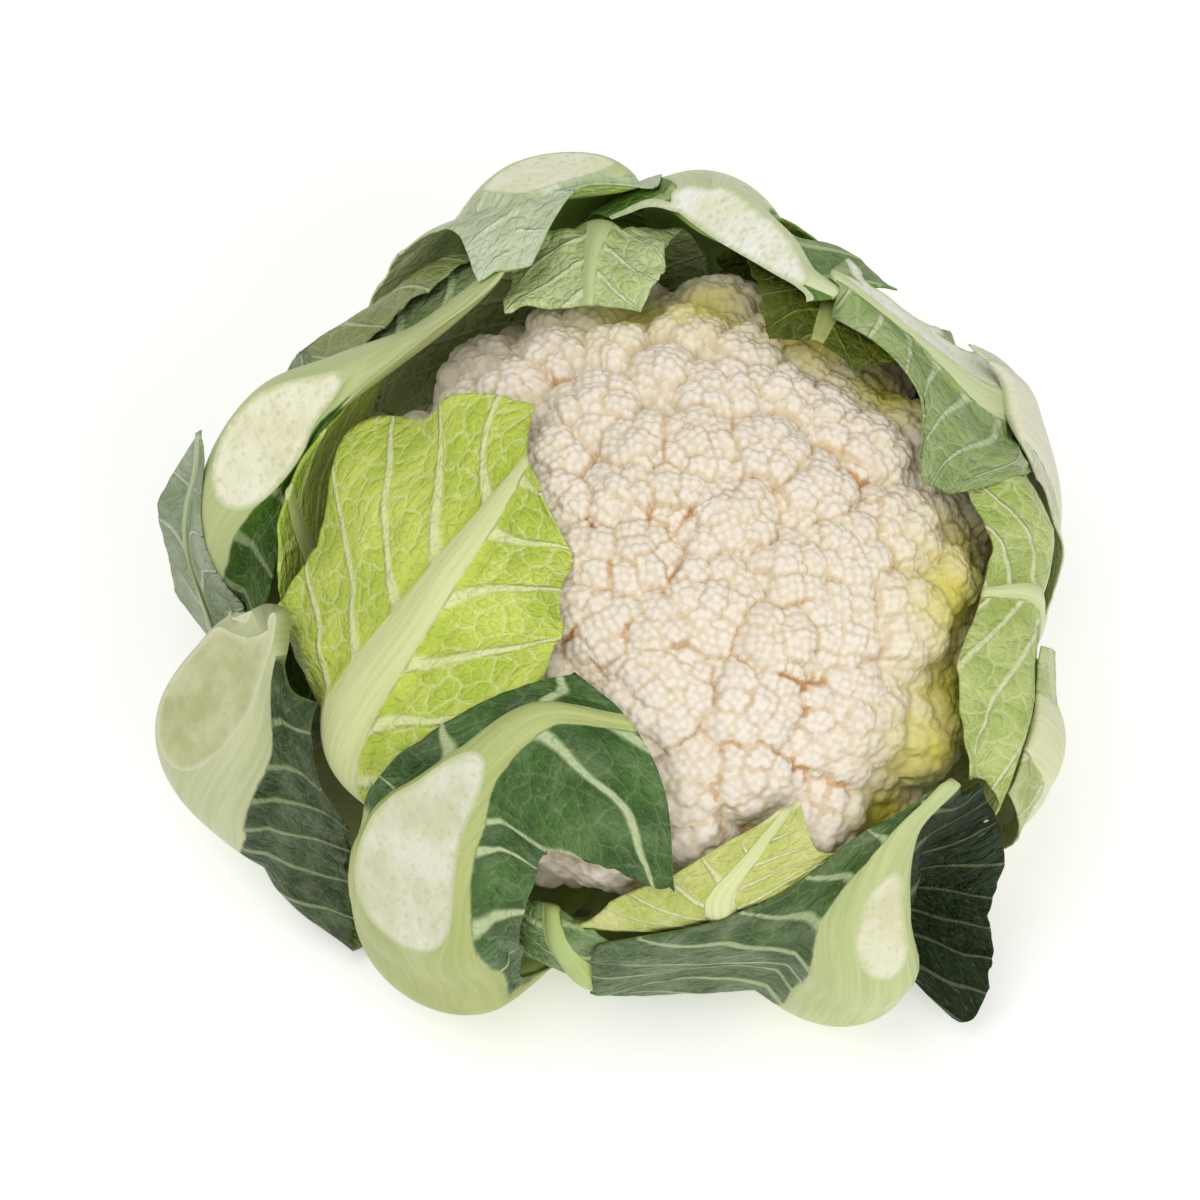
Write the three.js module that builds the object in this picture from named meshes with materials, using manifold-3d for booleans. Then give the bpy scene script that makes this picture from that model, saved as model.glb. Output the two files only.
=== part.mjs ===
// A trimmed cauliflower standing on its cut stalk: a white curd of close-packed florets on a short
// stalk, wrapped in overlapping leaves whose thick ribs a knife has shaved off round the shoulder.
// Millimetres, +Z up, origin at the middle of the stalk's cut face.
import * as THREE from "three";
import { mergeVertices } from "three/addons/utils/BufferGeometryUtils.js";
import Module from "manifold-3d";

const wasm = await Module();
wasm.setup();

// Driving dimensions
const HEAD = { centreZ: 76, halfWidth: 82, halfDepth: 87, above: 54, below: 36 };
const STALK = { baseRadius: 22, topRadius: 19, height: 39.4, rootHeight: 34 };
const CLEARANCE = 0.35;

// Florets that show between the leaves: [azimuth, tilt from the crown, radius] in degrees and mm.
const SHOWN_FLORETS = [
  [145, 64, 9], [137, 56, 7], [122, 55, 9], [107, 49, 8], [87, 51, 9], [70, 50, 9], [126, 36, 11],
  [95, 38, 8], [72, 34, 10], [54, 42, 10], [36, 46, 11], [23, 53, 11], [155, 35, 9], [181, 30, 8],
  [122, 18, 10], [72, 16, 10], [32, 26, 10], [176, 15, 8], [151, 3, 8], [337, 15, 12], [236, 21, 11],
  [213, 30, 10], [7, 34, 11], [284, 30, 15], [327, 34, 9], [344, 43, 12], [322, 48, 13], [359, 55, 11],
  [337, 61, 12], [240, 38, 9], [259, 36, 9], [262, 48, 15], [289, 52, 11], [304, 43, 8], [310, 65, 18],
  [272, 65, 11], [284, 65, 10], [295, 80, 13], [273, 75, 8], [259, 79, 11], [352, 68, 10], [224, 39, 8],
];

// The rest lie on a golden-angle spiral, wherever it leaves room beside the others.
const GOLDEN_ANGLE = Math.PI * (3 - Math.sqrt(5));
const SPIRAL = { count: 90, step: 0.225, room: 19, radius: 12 };
const FLORET = { domePerRadius: 1.9, deepest: 4.5, rise: 1 };
const BUD = { perRing: 6, ringAt: 0.72, domePerRadius: 0.8, deepest: 1.6 };
const CURD_FACETS = 16;

// Leaf mesh: rows along the rib, and steps across half of the thick rib and each side's blade.
const ROW_SPACING = 13;
const RIB_STEPS = 2;
const BLADE_STEP = 16;
const MOST_BLADE_STEPS = 3;
const BLADE_THICKNESS = 0.9;
const DRAPE_GAP = 0.8;
const OUTER_SHARE = 0.72;

const COLOURS = {
  curd: 0xeee3cf,
  stalk: 0xd9dcae,
  inner: 0xbfd06a,
  middle: 0x8fa860,
  outer: 0x6d8a58,
  glaucous: 0x8d9f86,
  dark: 0x4f6e38,
  pale: 0xcfd3a4,
};

// A leaf is a blade stretched over curves that run from the stalk to its tip: the rib's middle, and
// edges and folds to its left and right as seen from outside, nearest the rib first. Each curve has
// one point [azimuth, radius, height] for every station, in degrees and mm about the stalk's axis.
// Where a curve has no point, the leaf is its bare rib there.
const LEAVES = [
  {
    name: "leaf_left_small",
    colour: COLOURS.inner,
    rib: [[174, 24, 31], [174, 60, 38], [176, 88, 76], [171, 94, 100]],
    width: [15, 20, 9, 3],
    depth: [6, 6, 3, 1.4],
    left: [[null, null, [146, 89, 77], [147, 84, 105]]],
    right: [[null, null, [189, 91, 74], [184, 95, 88]]],
    ruffle: { size: 0.8, waves: 4, start: 0.1 },
  },
  {
    name: "leaf_left_inner",
    colour: COLOURS.inner,
    rib: [[208, 24, 31], [208, 58, 38], [209, 88, 70], [209, 85, 98], [206, 70, 114], [200, 57, 122], [188, 44, 126], [168, 36, 128]],
    width: [15, 26, 24, 19, 14, 10, 7, 3],
    depth: [7, 8, 8, 6, 5, 4, 3, 1.4],
    left: [[null, null, [184, 92, 66], [185, 92, 88], [174, 85, 100], [158, 80, 105], [154, 63, 118], [144, 43, 126]]],
    right: [[null, null, [238, 93, 70], [230, 80, 106], [234, 57, 121], [230, 44, 126], [219, 34, 129], [184, 31, 130]]],
    ruffle: { size: 2.8, waves: 4, start: 0.2 },
  },
  {
    name: "leaf_back_inner",
    colour: COLOURS.inner,
    rib: [[104, 24, 31], [104, 60, 38], [104, 90, 74], [103, 82, 113], [106, 73, 117], [111, 59, 119]],
    width: [15, 24, 18, 9, 5, 3],
    depth: [6, 7, 6, 3.5, 2.4, 1.4],
    left: [[null, null, [84, 91, 72], [92, 73, 117], [92, 63, 122], [99, 54, 122]]],
    right: [[null, null, [142, 92, 72], [115, 86, 112], [119, 82, 108], [126, 70, 112]]],
    ruffle: { size: 1.4, waves: 5, start: 0.4 },
  },
  {
    name: "leaf_right_back_inner",
    colour: COLOURS.inner,
    rib: [[54, 24, 31], [54, 60, 38], [55, 90, 74], [57, 71, 114], [53, 55, 121]],
    width: [15, 22, 14, 6, 3],
    depth: [6, 7, 5, 2.4, 1.2],
    left: [[null, null, [28, 88, 72], [38, 67, 117], [39, 56, 120]]],
    right: [[null, null, [80, 90, 72], [72, 65, 120], [62, 46, 126]]],
    ruffle: { size: 1.2, waves: 5, start: 0.1 },
  },
  {
    name: "leaf_right_inner",
    colour: COLOURS.inner,
    rib: [[352, 24, 31], [352, 60, 38], [352, 85, 72], [352, 84, 97], [347, 73, 107]],
    width: [15, 22, 14, 7, 3],
    depth: [6, 7, 4, 3, 1.4],
    left: [
      [null, null, [336, 89, 70], [335, 90, 91], [328, 75, 106]],
      [null, null, [318, 90, 66], [321, 94, 82], [320, 86, 94]],
    ],
    right: [
      [null, null, [2, 88, 72], [3, 88, 99], [358, 74, 108]],
      [null, null, [22, 88, 70], [16, 82, 105], [7, 71, 111]],
    ],
    ruffle: { size: 2.4, waves: 3.5, start: 0.3 },
  },
  {
    name: "leaf_front_inner",
    colour: COLOURS.inner,
    rib: [[280, 24, 31], [280, 60, 38], [279, 85, 68], [276, 88, 91], [282, 82, 101], [289, 76, 107]],
    width: [15, 22, 9, 6, 3, 2],
    depth: [6, 7, 2.6, 2, 1.4, 1.2],
    left: [[null, null, [252, 86, 66], [262, 88, 91], [275, 81, 101], [287, 76, 107]]],
    right: [[null, null, [304, 86, 66], [300, 88, 87], [292, 84, 97], [291, 75, 107]]],
    ruffle: { size: 0.5, waves: 4, start: 0 },
  },
  {
    name: "leaf_front_low",
    colour: COLOURS.dark,
    rib: [[266, 24, 20], [262, 58, 22], [258, 84, 32], [253, 88, 50], [250, 86, 72]],
    width: [15, 24, 14, 8, 4],
    depth: [7, 8, 5, 3, 2],
    left: [[null, null, [244, 82, 28], [241, 85, 48], [240, 86, 68]]],
    right: [[null, null, [272, 80, 28], [264, 86, 52], [257, 86, 74]]],
    ruffle: { size: 1, waves: 3, start: 0.1 },
  },
  {
    name: "leaf_left_back",
    colour: COLOURS.outer,
    rib: [[160, 24, 20], [163, 62, 25], [168, 98, 48], [168, 109, 78], [163, 103, 97], [154, 89, 105], [140, 79, 111], [126, 77, 117], [119, 82, 117]],
    width: [15, 28, 34, 36, 34, 26, 13, 9, 6],
    depth: [7, 11, 14, 15, 13, 9, 5, 3.5, 2.4],
    left: [
      [null, null, [144, 100, 50], [143, 106, 76], [147, 110, 86], [147, 109, 91], [137, 101, 98], [127, 97, 104], [121, 89, 110]],
      [null, null, null, null, null, [151, 95, 103], [141, 90, 110], [129, 87, 114], [122, 86, 115]],
    ],
    right: [[null, null, [188, 96, 44], [187, 99, 64], [181, 98, 80], [166, 93, 98], null, null, null]],
    ruffle: { size: 0.8, waves: 3, start: 0.1 },
    knife: { through: [161, 104, 103], azimuth: 225, elevation: 63 },
  },
  {
    name: "leaf_back_right",
    colour: COLOURS.outer,
    rib: [[76, 24, 20], [82, 62, 24], [85, 95, 50], [85, 102, 86], [84, 82, 115], [72, 72, 121], [64, 68, 122], [55, 68, 122]],
    width: [15, 28, 34, 34, 32, 20, 9, 5],
    depth: [7, 11, 14, 14, 12, 8, 4, 2.4],
    left: [[null, null, [62, 94, 48], [62, 97, 82], [77, 90, 110], [69, 88, 107], [61, 89, 105], [52, 88, 105]]],
    right: [
      [null, null, [96, 98, 52], [96, 102, 84], [94, 95, 109], [92, 76, 118], [75, 63, 124], [60, 61, 124]],
      [null, null, [103, 98, 54], [104, 100, 84], [102, 92, 105], [98, 80, 115], [85, 64, 121], [67, 58, 122]],
    ],
    ruffle: { size: 1, waves: 3, start: 0.4 },
    knife: { through: [71, 75, 123], azimuth: 190, elevation: 72 },
  },
  {
    name: "leaf_left_outer",
    colour: COLOURS.glaucous,
    rib: [[160, 24, 10], [173, 66, 15], [182, 104, 30], [180, 111, 50], [174, 114, 66], [169, 112, 82], [164, 117, 95]],
    width: [15, 24, 16, 8, 6, 4, 3],
    depth: [7, 10, 7, 4, 3, 2.4, 1.6],
    left: [
      [null, null, [168, 112, 30], [174, 124, 48], [171, 127, 62], [168, 127, 76], [163, 121, 94]],
    ],
    right: [
      [null, null, [192, 100, 34], [182, 97, 58], [178, 97, 72], [173, 103, 82], [166, 113, 94]],
    ],
    ruffle: { size: 0.8, waves: 2, start: 0.3 },
  },
  {
    name: "leaf_left_low",
    colour: COLOURS.glaucous,
    rib: [[202, 24, 10], [200, 66, 12], [195, 106, 24], [196, 119, 52], [195, 108, 82], [191, 95, 101]],
    width: [15, 30, 34, 38, 36, 22],
    depth: [7, 12, 15, 15, 12, 8],
    left: [[null, null, null, null, null, [190, 103, 97]]],
    right: [
      [null, null, [207, 111, 20], [207, 108, 42], [206, 100, 67], [200, 98, 90]],
      [null, null, [219, 102, 8], [214, 98, 34], [211, 95, 60], [203, 95, 90]],
    ],
    ruffle: { size: 1.6, waves: 2.2, start: 0.5 },
    knife: { through: [196, 111, 84], azimuth: 205, elevation: 38 },
  },
  {
    name: "leaf_front_left",
    colour: COLOURS.dark,
    rib: [[238, 24, 10], [236, 62, 12], [233, 92, 24], [232, 98, 58], [231, 87, 90], [235, 77, 116], [241, 64, 123], [259, 60, 124]],
    width: [15, 32, 38, 40, 30, 11, 7, 4],
    depth: [7, 12, 17, 18, 14, 6, 3.5, 2],
    left: [[null, null, null, [222, 101, 66], [219, 93, 88], [223, 79, 108], [231, 64, 121], [243, 53, 127]]],
    right: [
      [null, null, [243, 92, 28], [243, 96, 56], [242, 88, 97], [244, 82, 111], [252, 75, 117], [267, 73, 117]],
      [null, null, [245, 88, 26], [246, 90, 54], [248, 89, 92], [250, 87, 106], [259, 87, 105], [269, 90, 100]],
    ],
    ruffle: { size: 1, waves: 2.5, start: 0.2 },
    knife: { through: [231, 107, 77], azimuth: 229, elevation: 33 },
  },
  {
    name: "leaf_front_right",
    colour: COLOURS.outer,
    rib: [[292, 24, 10], [296, 62, 12], [297, 88, 22], [298, 97, 48], [298, 94, 80], [306, 88, 94], [316, 88, 99]],
    width: [15, 30, 34, 34, 25, 11, 7],
    depth: [7, 12, 15, 15, 10, 4, 2.4],
    left: [
      [null, null, [281, 82, 22], [280, 86, 48], [280, 90, 74], [297, 87, 95], [312, 86, 99]],
      [null, null, [257, 82, 20], [257, 84, 40], [258, 88, 66], [295, 86, 95], [311, 85, 99]],
    ],
    right: [
      [null, null, [308, 92, 14], [311, 86, 26], [313, 84, 46], [313, 86, 70], [317, 90, 92]],
      [null, null, [310, 109, 11], [315, 109, 27], [319, 102, 50], [321, 95, 76], [320, 92, 92]],
    ],
    ruffle: { size: 1.4, waves: 2.5, start: 0.3 },
    knife: { through: [301, 99, 83], azimuth: 300, elevation: 27 },
  },
  {
    name: "leaf_right_back",
    colour: COLOURS.middle,
    rib: [[44, 24, 10], [43, 62, 12], [40, 86, 34], [36, 89, 70], [32, 80, 102], [42, 76, 112], [50, 72, 117], [59, 68, 121]],
    width: [15, 26, 28, 28, 22, 13, 8, 5],
    depth: [7, 10, 11, 11, 9, 5, 3, 2],
    left: [
      [null, null, [28, 88, 36], [26, 89, 72], [18, 78, 104], [27, 69, 114], [37, 68, 117], [56, 66, 122]],
      [null, null, [24, 88, 40], [20, 89, 78], [6, 64, 112], [7, 58, 116], [26, 64, 118], [54, 63, 121]],
    ],
    right: [[null, null, [60, 90, 40], [56, 92, 74], [42, 90, 98], [44, 86, 105], [52, 87, 107], [60, 85, 111]]],
    ruffle: { size: 1, waves: 4, start: 0.2 },
    knife: { through: [40, 79, 112], azimuth: 39, elevation: 40 },
  },
  {
    name: "leaf_right_low",
    colour: COLOURS.pale,
    rib: [[332, 24, 10], [338, 64, 12], [342, 90, 32], [338, 95, 56], [334, 92, 87]],
    width: [15, 28, 30, 26, 14],
    depth: [7, 10, 9, 6, 3],
    left: [[null, null, [328, 92, 30], [325, 95, 48], [324, 94, 80]]],
    right: [[null, null, [358, 88, 34], [353, 89, 60], [346, 88, 90]]],
    ruffle: { size: 1.2, waves: 2, start: 0.3 },
  },
  {
    name: "leaf_right_outer",
    colour: COLOURS.pale,
    rib: [[8, 24, 10], [11, 64, 12], [14, 88, 28], [18, 94, 60], [26, 87, 101]],
    width: [15, 28, 32, 30, 20],
    depth: [7, 10, 9, 6, 3.5],
    left: [[null, null, [2, 88, 30], [5, 93, 60], [14, 88, 93]]],
    right: [[null, null, [25, 91, 32], [29, 97, 62], [36, 84, 106]]],
    ruffle: { size: 0.6, waves: 2, start: 0.2 },
  },
  {
    name: "leaf_back_left",
    colour: COLOURS.pale,
    rib: [[102, 24, 10], [112, 66, 12], [114, 101, 30], [111, 110, 66], [108, 97, 114], [114, 90, 121], [123, 75, 122]],
    width: [15, 30, 36, 40, 40, 8, 5],
    depth: [7, 11, 12, 12, 12, 2.4, 1.4],
    left: [[null, null, [98, 99, 30], [95, 106, 66], [93, 92, 114], [104, 90, 122], [119, 72, 124]]],
    right: [[null, null, [140, 94, 34], [138, 106, 68], [128, 101, 109], [125, 94, 118], [128, 77, 121]]],
    ruffle: { size: 0.6, waves: 2, start: 0 },
    knife: { through: [110, 104, 113], azimuth: 105, elevation: 52 },
  },
];

// The same repeatable draw everywhere: Park and Miller's generator.
function seededRandom(seed) {
  let state = seed;
  return () => {
    state = (state * 16807) % 2147483647;
    return state / 2147483647;
  };
}

const radians = (degrees) => (degrees * Math.PI) / 180;
const clamp01 = (x) => Math.min(1, Math.max(0, x));
const smooth = (x) => clamp01(x) ** 2 * (3 - 2 * clamp01(x));
const mix = (a, b, t) => a + (b - a) * t;
const headCentre = new THREE.Vector3(0, 0, HEAD.centreZ);

function fromPolar([azimuth, radius, height]) {
  const a = radians(azimuth);
  return new THREE.Vector3(radius * Math.cos(a), radius * Math.sin(a), height);
}

// Distance from the head's centre to its smooth outline in a unit direction.
function headReach(q) {
  const vertical = q.z > 0 ? HEAD.above : HEAD.below;
  return 1 / Math.hypot(q.x / HEAD.halfWidth, q.y / HEAD.halfDepth, q.z / vertical);
}

// Centripetal Catmull-Rom through a list of vectors, at a place counted in its points.
function spline(points, place) {
  const last = points.length - 1;
  const i = Math.min(last - 1, Math.max(0, Math.floor(place)));
  const beyond = (a, b) => a.map((v, k) => 2 * v - b[k]);
  const before = i > 0 ? points[i - 1] : beyond(points[0], points[1]);
  const after = i < last - 1 ? points[i + 2] : beyond(points[last], points[last - 1]);
  const p = [before, points[i], points[i + 1], after];
  const knot = [0, 0, 0, 0];
  for (let k = 1; k < 4; k++) {
    knot[k] = knot[k - 1] + Math.sqrt(Math.max(1e-6, Math.hypot(...p[k].map((v, n) => v - p[k - 1][n]))));
  }
  const t = knot[1] + (place - i) * (knot[2] - knot[1]);
  const between = (a, b, from, to) => a.map((v, n) => v + ((b[n] - v) * (t - from)) / (to - from));
  const first = [0, 1, 2].map((k) => between(p[k], p[k + 1], knot[k], knot[k + 1]));
  const second = [0, 1].map((k) => between(first[k], first[k + 1], knot[k], knot[k + 2]));
  return between(second[0], second[1], knot[1], knot[2]);
}

function outlinePoint(q) {
  return q.clone().multiplyScalar(headReach(q));
}

// The way straight out of the head's outline at a point on it.
function outlineNormal(p) {
  const vertical = p.z > 0 ? HEAD.above : HEAD.below;
  return new THREE.Vector3(
    p.x / HEAD.halfWidth ** 2,
    p.y / HEAD.halfDepth ** 2,
    p.z / vertical ** 2,
  ).normalize();
}

function towards(azimuth, tilt) {
  const level = Math.sin(tilt);
  const q = new THREE.Vector3(level * Math.cos(azimuth), level * Math.sin(azimuth), Math.cos(tilt));
  return outlinePoint(q);
}

// A point on the outline some way from another, in a direction counted from level.
function beside(p, distance, turn) {
  const normal = outlineNormal(p);
  const level = new THREE.Vector3(-p.y, p.x, 0);
  if (level.lengthSq() < 1e-6) level.set(1, 0, 0);
  level.normalize();
  const up = new THREE.Vector3().crossVectors(normal, level);
  const place = p
    .clone()
    .addScaledVector(level, distance * Math.cos(turn))
    .addScaledVector(up, distance * Math.sin(turn));
  return outlinePoint(place.normalize());
}

// Each floret has a bud in its middle and a ring of them round it.
function budsOn(centre, radius, turn, random) {
  const buds = [{ centre, radius: radius * BUD.domePerRadius }];
  for (let k = 0; k < BUD.perRing; k++) {
    const distance = radius * BUD.ringAt * mix(0.85, 1.15, random());
    const place = beside(centre, distance, turn + (2 * Math.PI * (k + 0.4 * random())) / BUD.perRing);
    buds.push({ centre: place, radius: radius * BUD.domePerRadius * mix(0.85, 1.1, random()) });
  }
  return buds;
}

function florets() {
  const random = seededRandom(4711);
  const placed = SHOWN_FLORETS.map(([azimuth, tilt, radius]) => ({
    centre: towards(radians(azimuth), radians(tilt)),
    radius,
  }));
  for (let i = 0; i < SPIRAL.count; i++) {
    const centre = towards(i * GOLDEN_ANGLE, SPIRAL.step * Math.sqrt(i + 0.5));
    const free = placed.every((other) => other.centre.distanceTo(centre) > SPIRAL.room);
    if (free) placed.push({ centre, radius: SPIRAL.radius });
  }
  return placed.map((floret, i) => ({
    ...floret,
    rise: FLORET.rise * mix(-1, 1, random()),
    buds: budsOn(floret.centre, floret.radius, i * GOLDEN_ANGLE, random),
  }));
}

// How far a dome of some radius has fallen at a distance from its top, in mm.
function domeDrop(distance, radius) {
  const offset = distance / radius;
  return radius * (1 - Math.sqrt(Math.max(0, 1 - offset * offset)));
}

// The curd: domes on domes, sunk where they meet, smooth and bare on its hidden underside.
function curdRelief(p, all) {
  let best = null;
  let lowest = Infinity;
  for (const floret of all) {
    const distance = floret.centre.distanceTo(p);
    const drop = domeDrop(distance, floret.radius * FLORET.domePerRadius) - floret.rise;
    if (drop < lowest) [best, lowest] = [floret, drop];
  }
  const budDrop = Math.min(...best.buds.map(({ centre, radius }) => domeDrop(centre.distanceTo(p), radius)));
  return Math.min(lowest, FLORET.deepest) + Math.min(budDrop, BUD.deepest);
}

function curdGeometry() {
  const all = florets();
  const ball = new THREE.IcosahedronGeometry(1, CURD_FACETS);
  ball.deleteAttribute("normal");
  ball.deleteAttribute("uv");
  const geometry = mergeVertices(ball, 1e-5);
  const place = geometry.getAttribute("position");
  const q = new THREE.Vector3();
  for (let i = 0; i < place.count; i++) {
    q.fromBufferAttribute(place, i);
    q.z += 0.42;
    q.normalize();
    const p = outlinePoint(q);
    const depth = curdRelief(p, all) * smooth((q.z + 0.62) / 0.3);
    p.addScaledVector(outlineNormal(p), -depth).add(headCentre);
    place.setXYZ(i, p.x, p.y, Math.max(p.z, STALK.height + CLEARANCE));
  }
  return geometry;
}

function stalkGeometry() {
  const { baseRadius, topRadius, height, rootHeight } = STALK;
  const profile = [
    [0, 0],
    [baseRadius - 1, 0],
    [baseRadius, 1.5],
    [baseRadius - 0.6, 6],
    [topRadius, rootHeight],
    [topRadius - 3, height],
    [0, height],
  ].map(([r, z]) => new THREE.Vector2(r, z));
  return new THREE.LatheGeometry(profile, 28).rotateX(Math.PI / 2);
}

// A place on a curve as [x, y, z, lift]: about the head's centre, with its height off the head.
function asPlace(x, y, z) {
  const distance = Math.hypot(x, y, z);
  const q = new THREE.Vector3(x, y, z).divideScalar(distance);
  return [x, y, z, distance - headReach(q)];
}

// Where a leaf is its bare rib, its side curves follow the rib's flanks.
function flank(rib, index, sideways, width) {
  const [azimuth, radius, height] = rib[index];
  const [before, after] = [rib[Math.max(0, index - 1)], rib[Math.min(rib.length - 1, index + 1)]];
  const tangent = fromPolar(after).sub(fromPolar(before));
  const place = fromPolar([azimuth, radius, height]).sub(headCentre);
  const side = tangent.cross(place).normalize();
  return place.addScaledVector(side, sideways * (width / 2 + 1));
}

function leafCurves(leaf) {
  const curve = (given, sideways) =>
    leaf.rib.map((station, i) => {
      const point = given ? given[i] : station;
      const place = point
        ? fromPolar(point).sub(headCentre)
        : flank(leaf.rib, i, sideways, leaf.width[i]);
      return asPlace(place.x, place.y, place.z);
    });
  return [
    ...leaf.left.map((given, k) => curve(given, -1 - k * 0.1)).reverse(),
    curve(null, 0),
    ...leaf.right.map((given, k) => curve(given, 1 + k * 0.1)),
  ];
}

// Samples across the leaf at a place along it, with the distance of each from the rib's middle.
function crossing(curves, ribAt, s) {
  const through = curves.map((curve) => spline(curve, s));
  const samples = [];
  const finest = 10;
  for (let k = 0; k <= (through.length - 1) * finest; k++) {
    const [x, y, z, lift] = spline(through, k / finest);
    const q = new THREE.Vector3(x, y, z).normalize();
    samples.push({ point: q.clone().multiplyScalar(headReach(q) + lift), w: 0 });
  }
  const middle = ribAt * finest;
  for (let k = middle + 1; k < samples.length; k++) {
    samples[k].w = samples[k - 1].w + samples[k].point.distanceTo(samples[k - 1].point);
  }
  for (let k = middle - 1; k >= 0; k--) {
    samples[k].w = samples[k + 1].w - samples[k].point.distanceTo(samples[k + 1].point);
  }
  return samples;
}

function pointAcross(samples, w) {
  let k = 1;
  while (k < samples.length - 1 && samples[k].w < w) k++;
  const [a, b] = [samples[k - 1], samples[k]];
  return a.point.clone().lerp(b.point, (w - a.w) / (b.w - a.w));
}

// Places along a leaf, in stations, about as far apart as its rows of facets.
function rowPlaces(leaf) {
  const places = [0];
  for (let i = 1; i < leaf.rib.length; i++) {
    const length = fromPolar(leaf.rib[i]).distanceTo(fromPolar(leaf.rib[i - 1]));
    const count = Math.max(1, Math.round(length / ROW_SPACING));
    for (let k = 1; k <= count; k++) places.push(i - 1 + k / count);
  }
  return places;
}

function bladeSteps(edges) {
  const widest = Math.max(...edges.map(Math.abs));
  return Math.min(MOST_BLADE_STEPS, Math.max(1, Math.round(widest / BLADE_STEP)));
}

// The leaf's middle surface and its depth there, on a grid of rows along the rib.
function leafGrid(leaf) {
  const curves = leafCurves(leaf);
  const last = leaf.rib.length - 1;
  const places = rowPlaces(leaf);
  const crossings = places.map((s) => crossing(curves, leaf.left.length, s));
  const blades = [0, -1].map((end) => bladeSteps(crossings.map((samples) => samples.at(end).w)));
  return places.map((s, i) => {
    const samples = crossings[i];
    const ribHalf = spline(leaf.width.map((v) => [v]), s)[0] / 2;
    const depth = spline(leaf.depth.map((v) => [v]), s)[0];
    const row = [];
    for (let j = -RIB_STEPS - blades[0]; j <= RIB_STEPS + blades[1]; j++) {
      const side = j < 0 ? 0 : 1;
      const reach = Math.max(Math.abs(samples.at(-side).w), ribHalf + 0.5);
      const outward = clamp01((Math.abs(j) - RIB_STEPS) / blades[side]);
      const inRib = (ribHalf * Math.abs(j)) / RIB_STEPS;
      const w = outward > 0 ? mix(ribHalf, reach, outward) : inRib;
      const point = pointAcross(samples, Math.sign(j) * w);
      const turn = leaf.ruffle.waves * (s / last) + leaf.ruffle.start + (j < 0 ? 0.4 : 0);
      const wave = leaf.ruffle.size * outward ** 2 * smooth((s - 1) / 1.5);
      point.setLength(point.length() + wave * Math.sin(2 * Math.PI * turn));
      const across = w / ribHalf;
      const swell = across < 1 ? Math.sqrt(1 - across * across) : 0;
      row.push({
        point: point.add(headCentre),
        depth: Math.max(BLADE_THICKNESS, depth * swell),
      });
    }
    return row;
  });
}

// Lifts a leaf off whatever already lies under it, seen from the head's centre, and eases the lift
// out over its neighbourhood.
function drape(rows, under) {
  const caster = new THREE.Raycaster();
  const lift = rows.map((row) =>
    row.map(({ point, depth }) => {
      const away = point.clone().sub(headCentre);
      const distance = away.length();
      caster.set(headCentre, away.normalize());
      const top = caster.intersectObjects(under, false).at(-1)?.distance ?? 0;
      return Math.max(0, top + DRAPE_GAP + depth * (1 - OUTER_SHARE) - distance);
    }),
  );
  for (let pass = 0; pass < 2; pass++) {
    const before = lift.map((row) => [...row]);
    const at = (i, j) => before[i]?.[j] ?? 0;
    lift.forEach((row, i) =>
      row.forEach((value, j) => {
        const around = (at(i - 1, j) + at(i + 1, j) + at(i, j - 1) + at(i, j + 1)) / 4;
        row[j] = Math.max(value, around);
      }),
    );
  }
  rows.forEach((row, i) =>
    row.forEach(({ point }, j) => {
      const away = point.clone().sub(headCentre).normalize();
      point.addScaledVector(away, lift[i][j]);
    }),
  );
}

// A closed solid from a leaf grid: an outer and an inner face, split alike, joined round the rim.
function leafGeometry(rows, extra = 0) {
  const [n, m] = [rows.length, rows[0].length];
  const at = (i, j) => rows[Math.min(n - 1, Math.max(0, i))][Math.min(m - 1, Math.max(0, j))];
  const vertices = [];
  for (const face of [OUTER_SHARE, OUTER_SHARE - 1]) {
    for (let i = 0; i < n; i++) {
      for (let j = 0; j < m; j++) {
        const up = at(i + 1, j).point.clone().sub(at(i - 1, j).point);
        const over = at(i, j + 1).point.clone().sub(at(i, j - 1).point);
        const normal = over.cross(up).normalize();
        const offset = at(i, j).depth * face + Math.sign(face) * extra;
        const p = at(i, j).point.clone().addScaledVector(normal, offset);
        vertices.push(p.x, p.y, p.z);
      }
    }
  }
  const triangles = [];
  const outer = (i, j) => i * m + j;
  const inner = (i, j) => n * m + i * m + j;
  const quad = (a, b, c, d) => triangles.push(a, b, c, a, c, d);
  for (let i = 0; i < n - 1; i++) {
    for (let j = 0; j < m - 1; j++) {
      quad(outer(i, j), outer(i, j + 1), outer(i + 1, j + 1), outer(i + 1, j));
      triangles.push(inner(i, j), inner(i + 1, j + 1), inner(i, j + 1));
      triangles.push(inner(i, j), inner(i + 1, j), inner(i + 1, j + 1));
    }
    quad(outer(i, 0), outer(i + 1, 0), inner(i + 1, 0), inner(i, 0));
    quad(outer(i + 1, m - 1), outer(i, m - 1), inner(i, m - 1), inner(i + 1, m - 1));
  }
  for (let j = 0; j < m - 1; j++) {
    quad(outer(0, j + 1), outer(0, j), inner(0, j), inner(0, j + 1));
    quad(outer(n - 1, j), outer(n - 1, j + 1), inner(n - 1, j + 1), inner(n - 1, j));
  }
  return new THREE.BufferGeometry()
    .setAttribute("position", new THREE.Float32BufferAttribute(vertices, 3))
    .setIndex(triangles);
}

function solidFrom(geometry) {
  const bare = geometry.clone();
  bare.deleteAttribute("normal");
  bare.deleteAttribute("uv");
  const merged = mergeVertices(bare, 1e-4);
  return new wasm.Manifold(
    new wasm.Mesh({
      numProp: 3,
      vertProperties: merged.attributes.position.array,
      triVerts: new Uint32Array(merged.index.array),
    }),
  );
}

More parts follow.
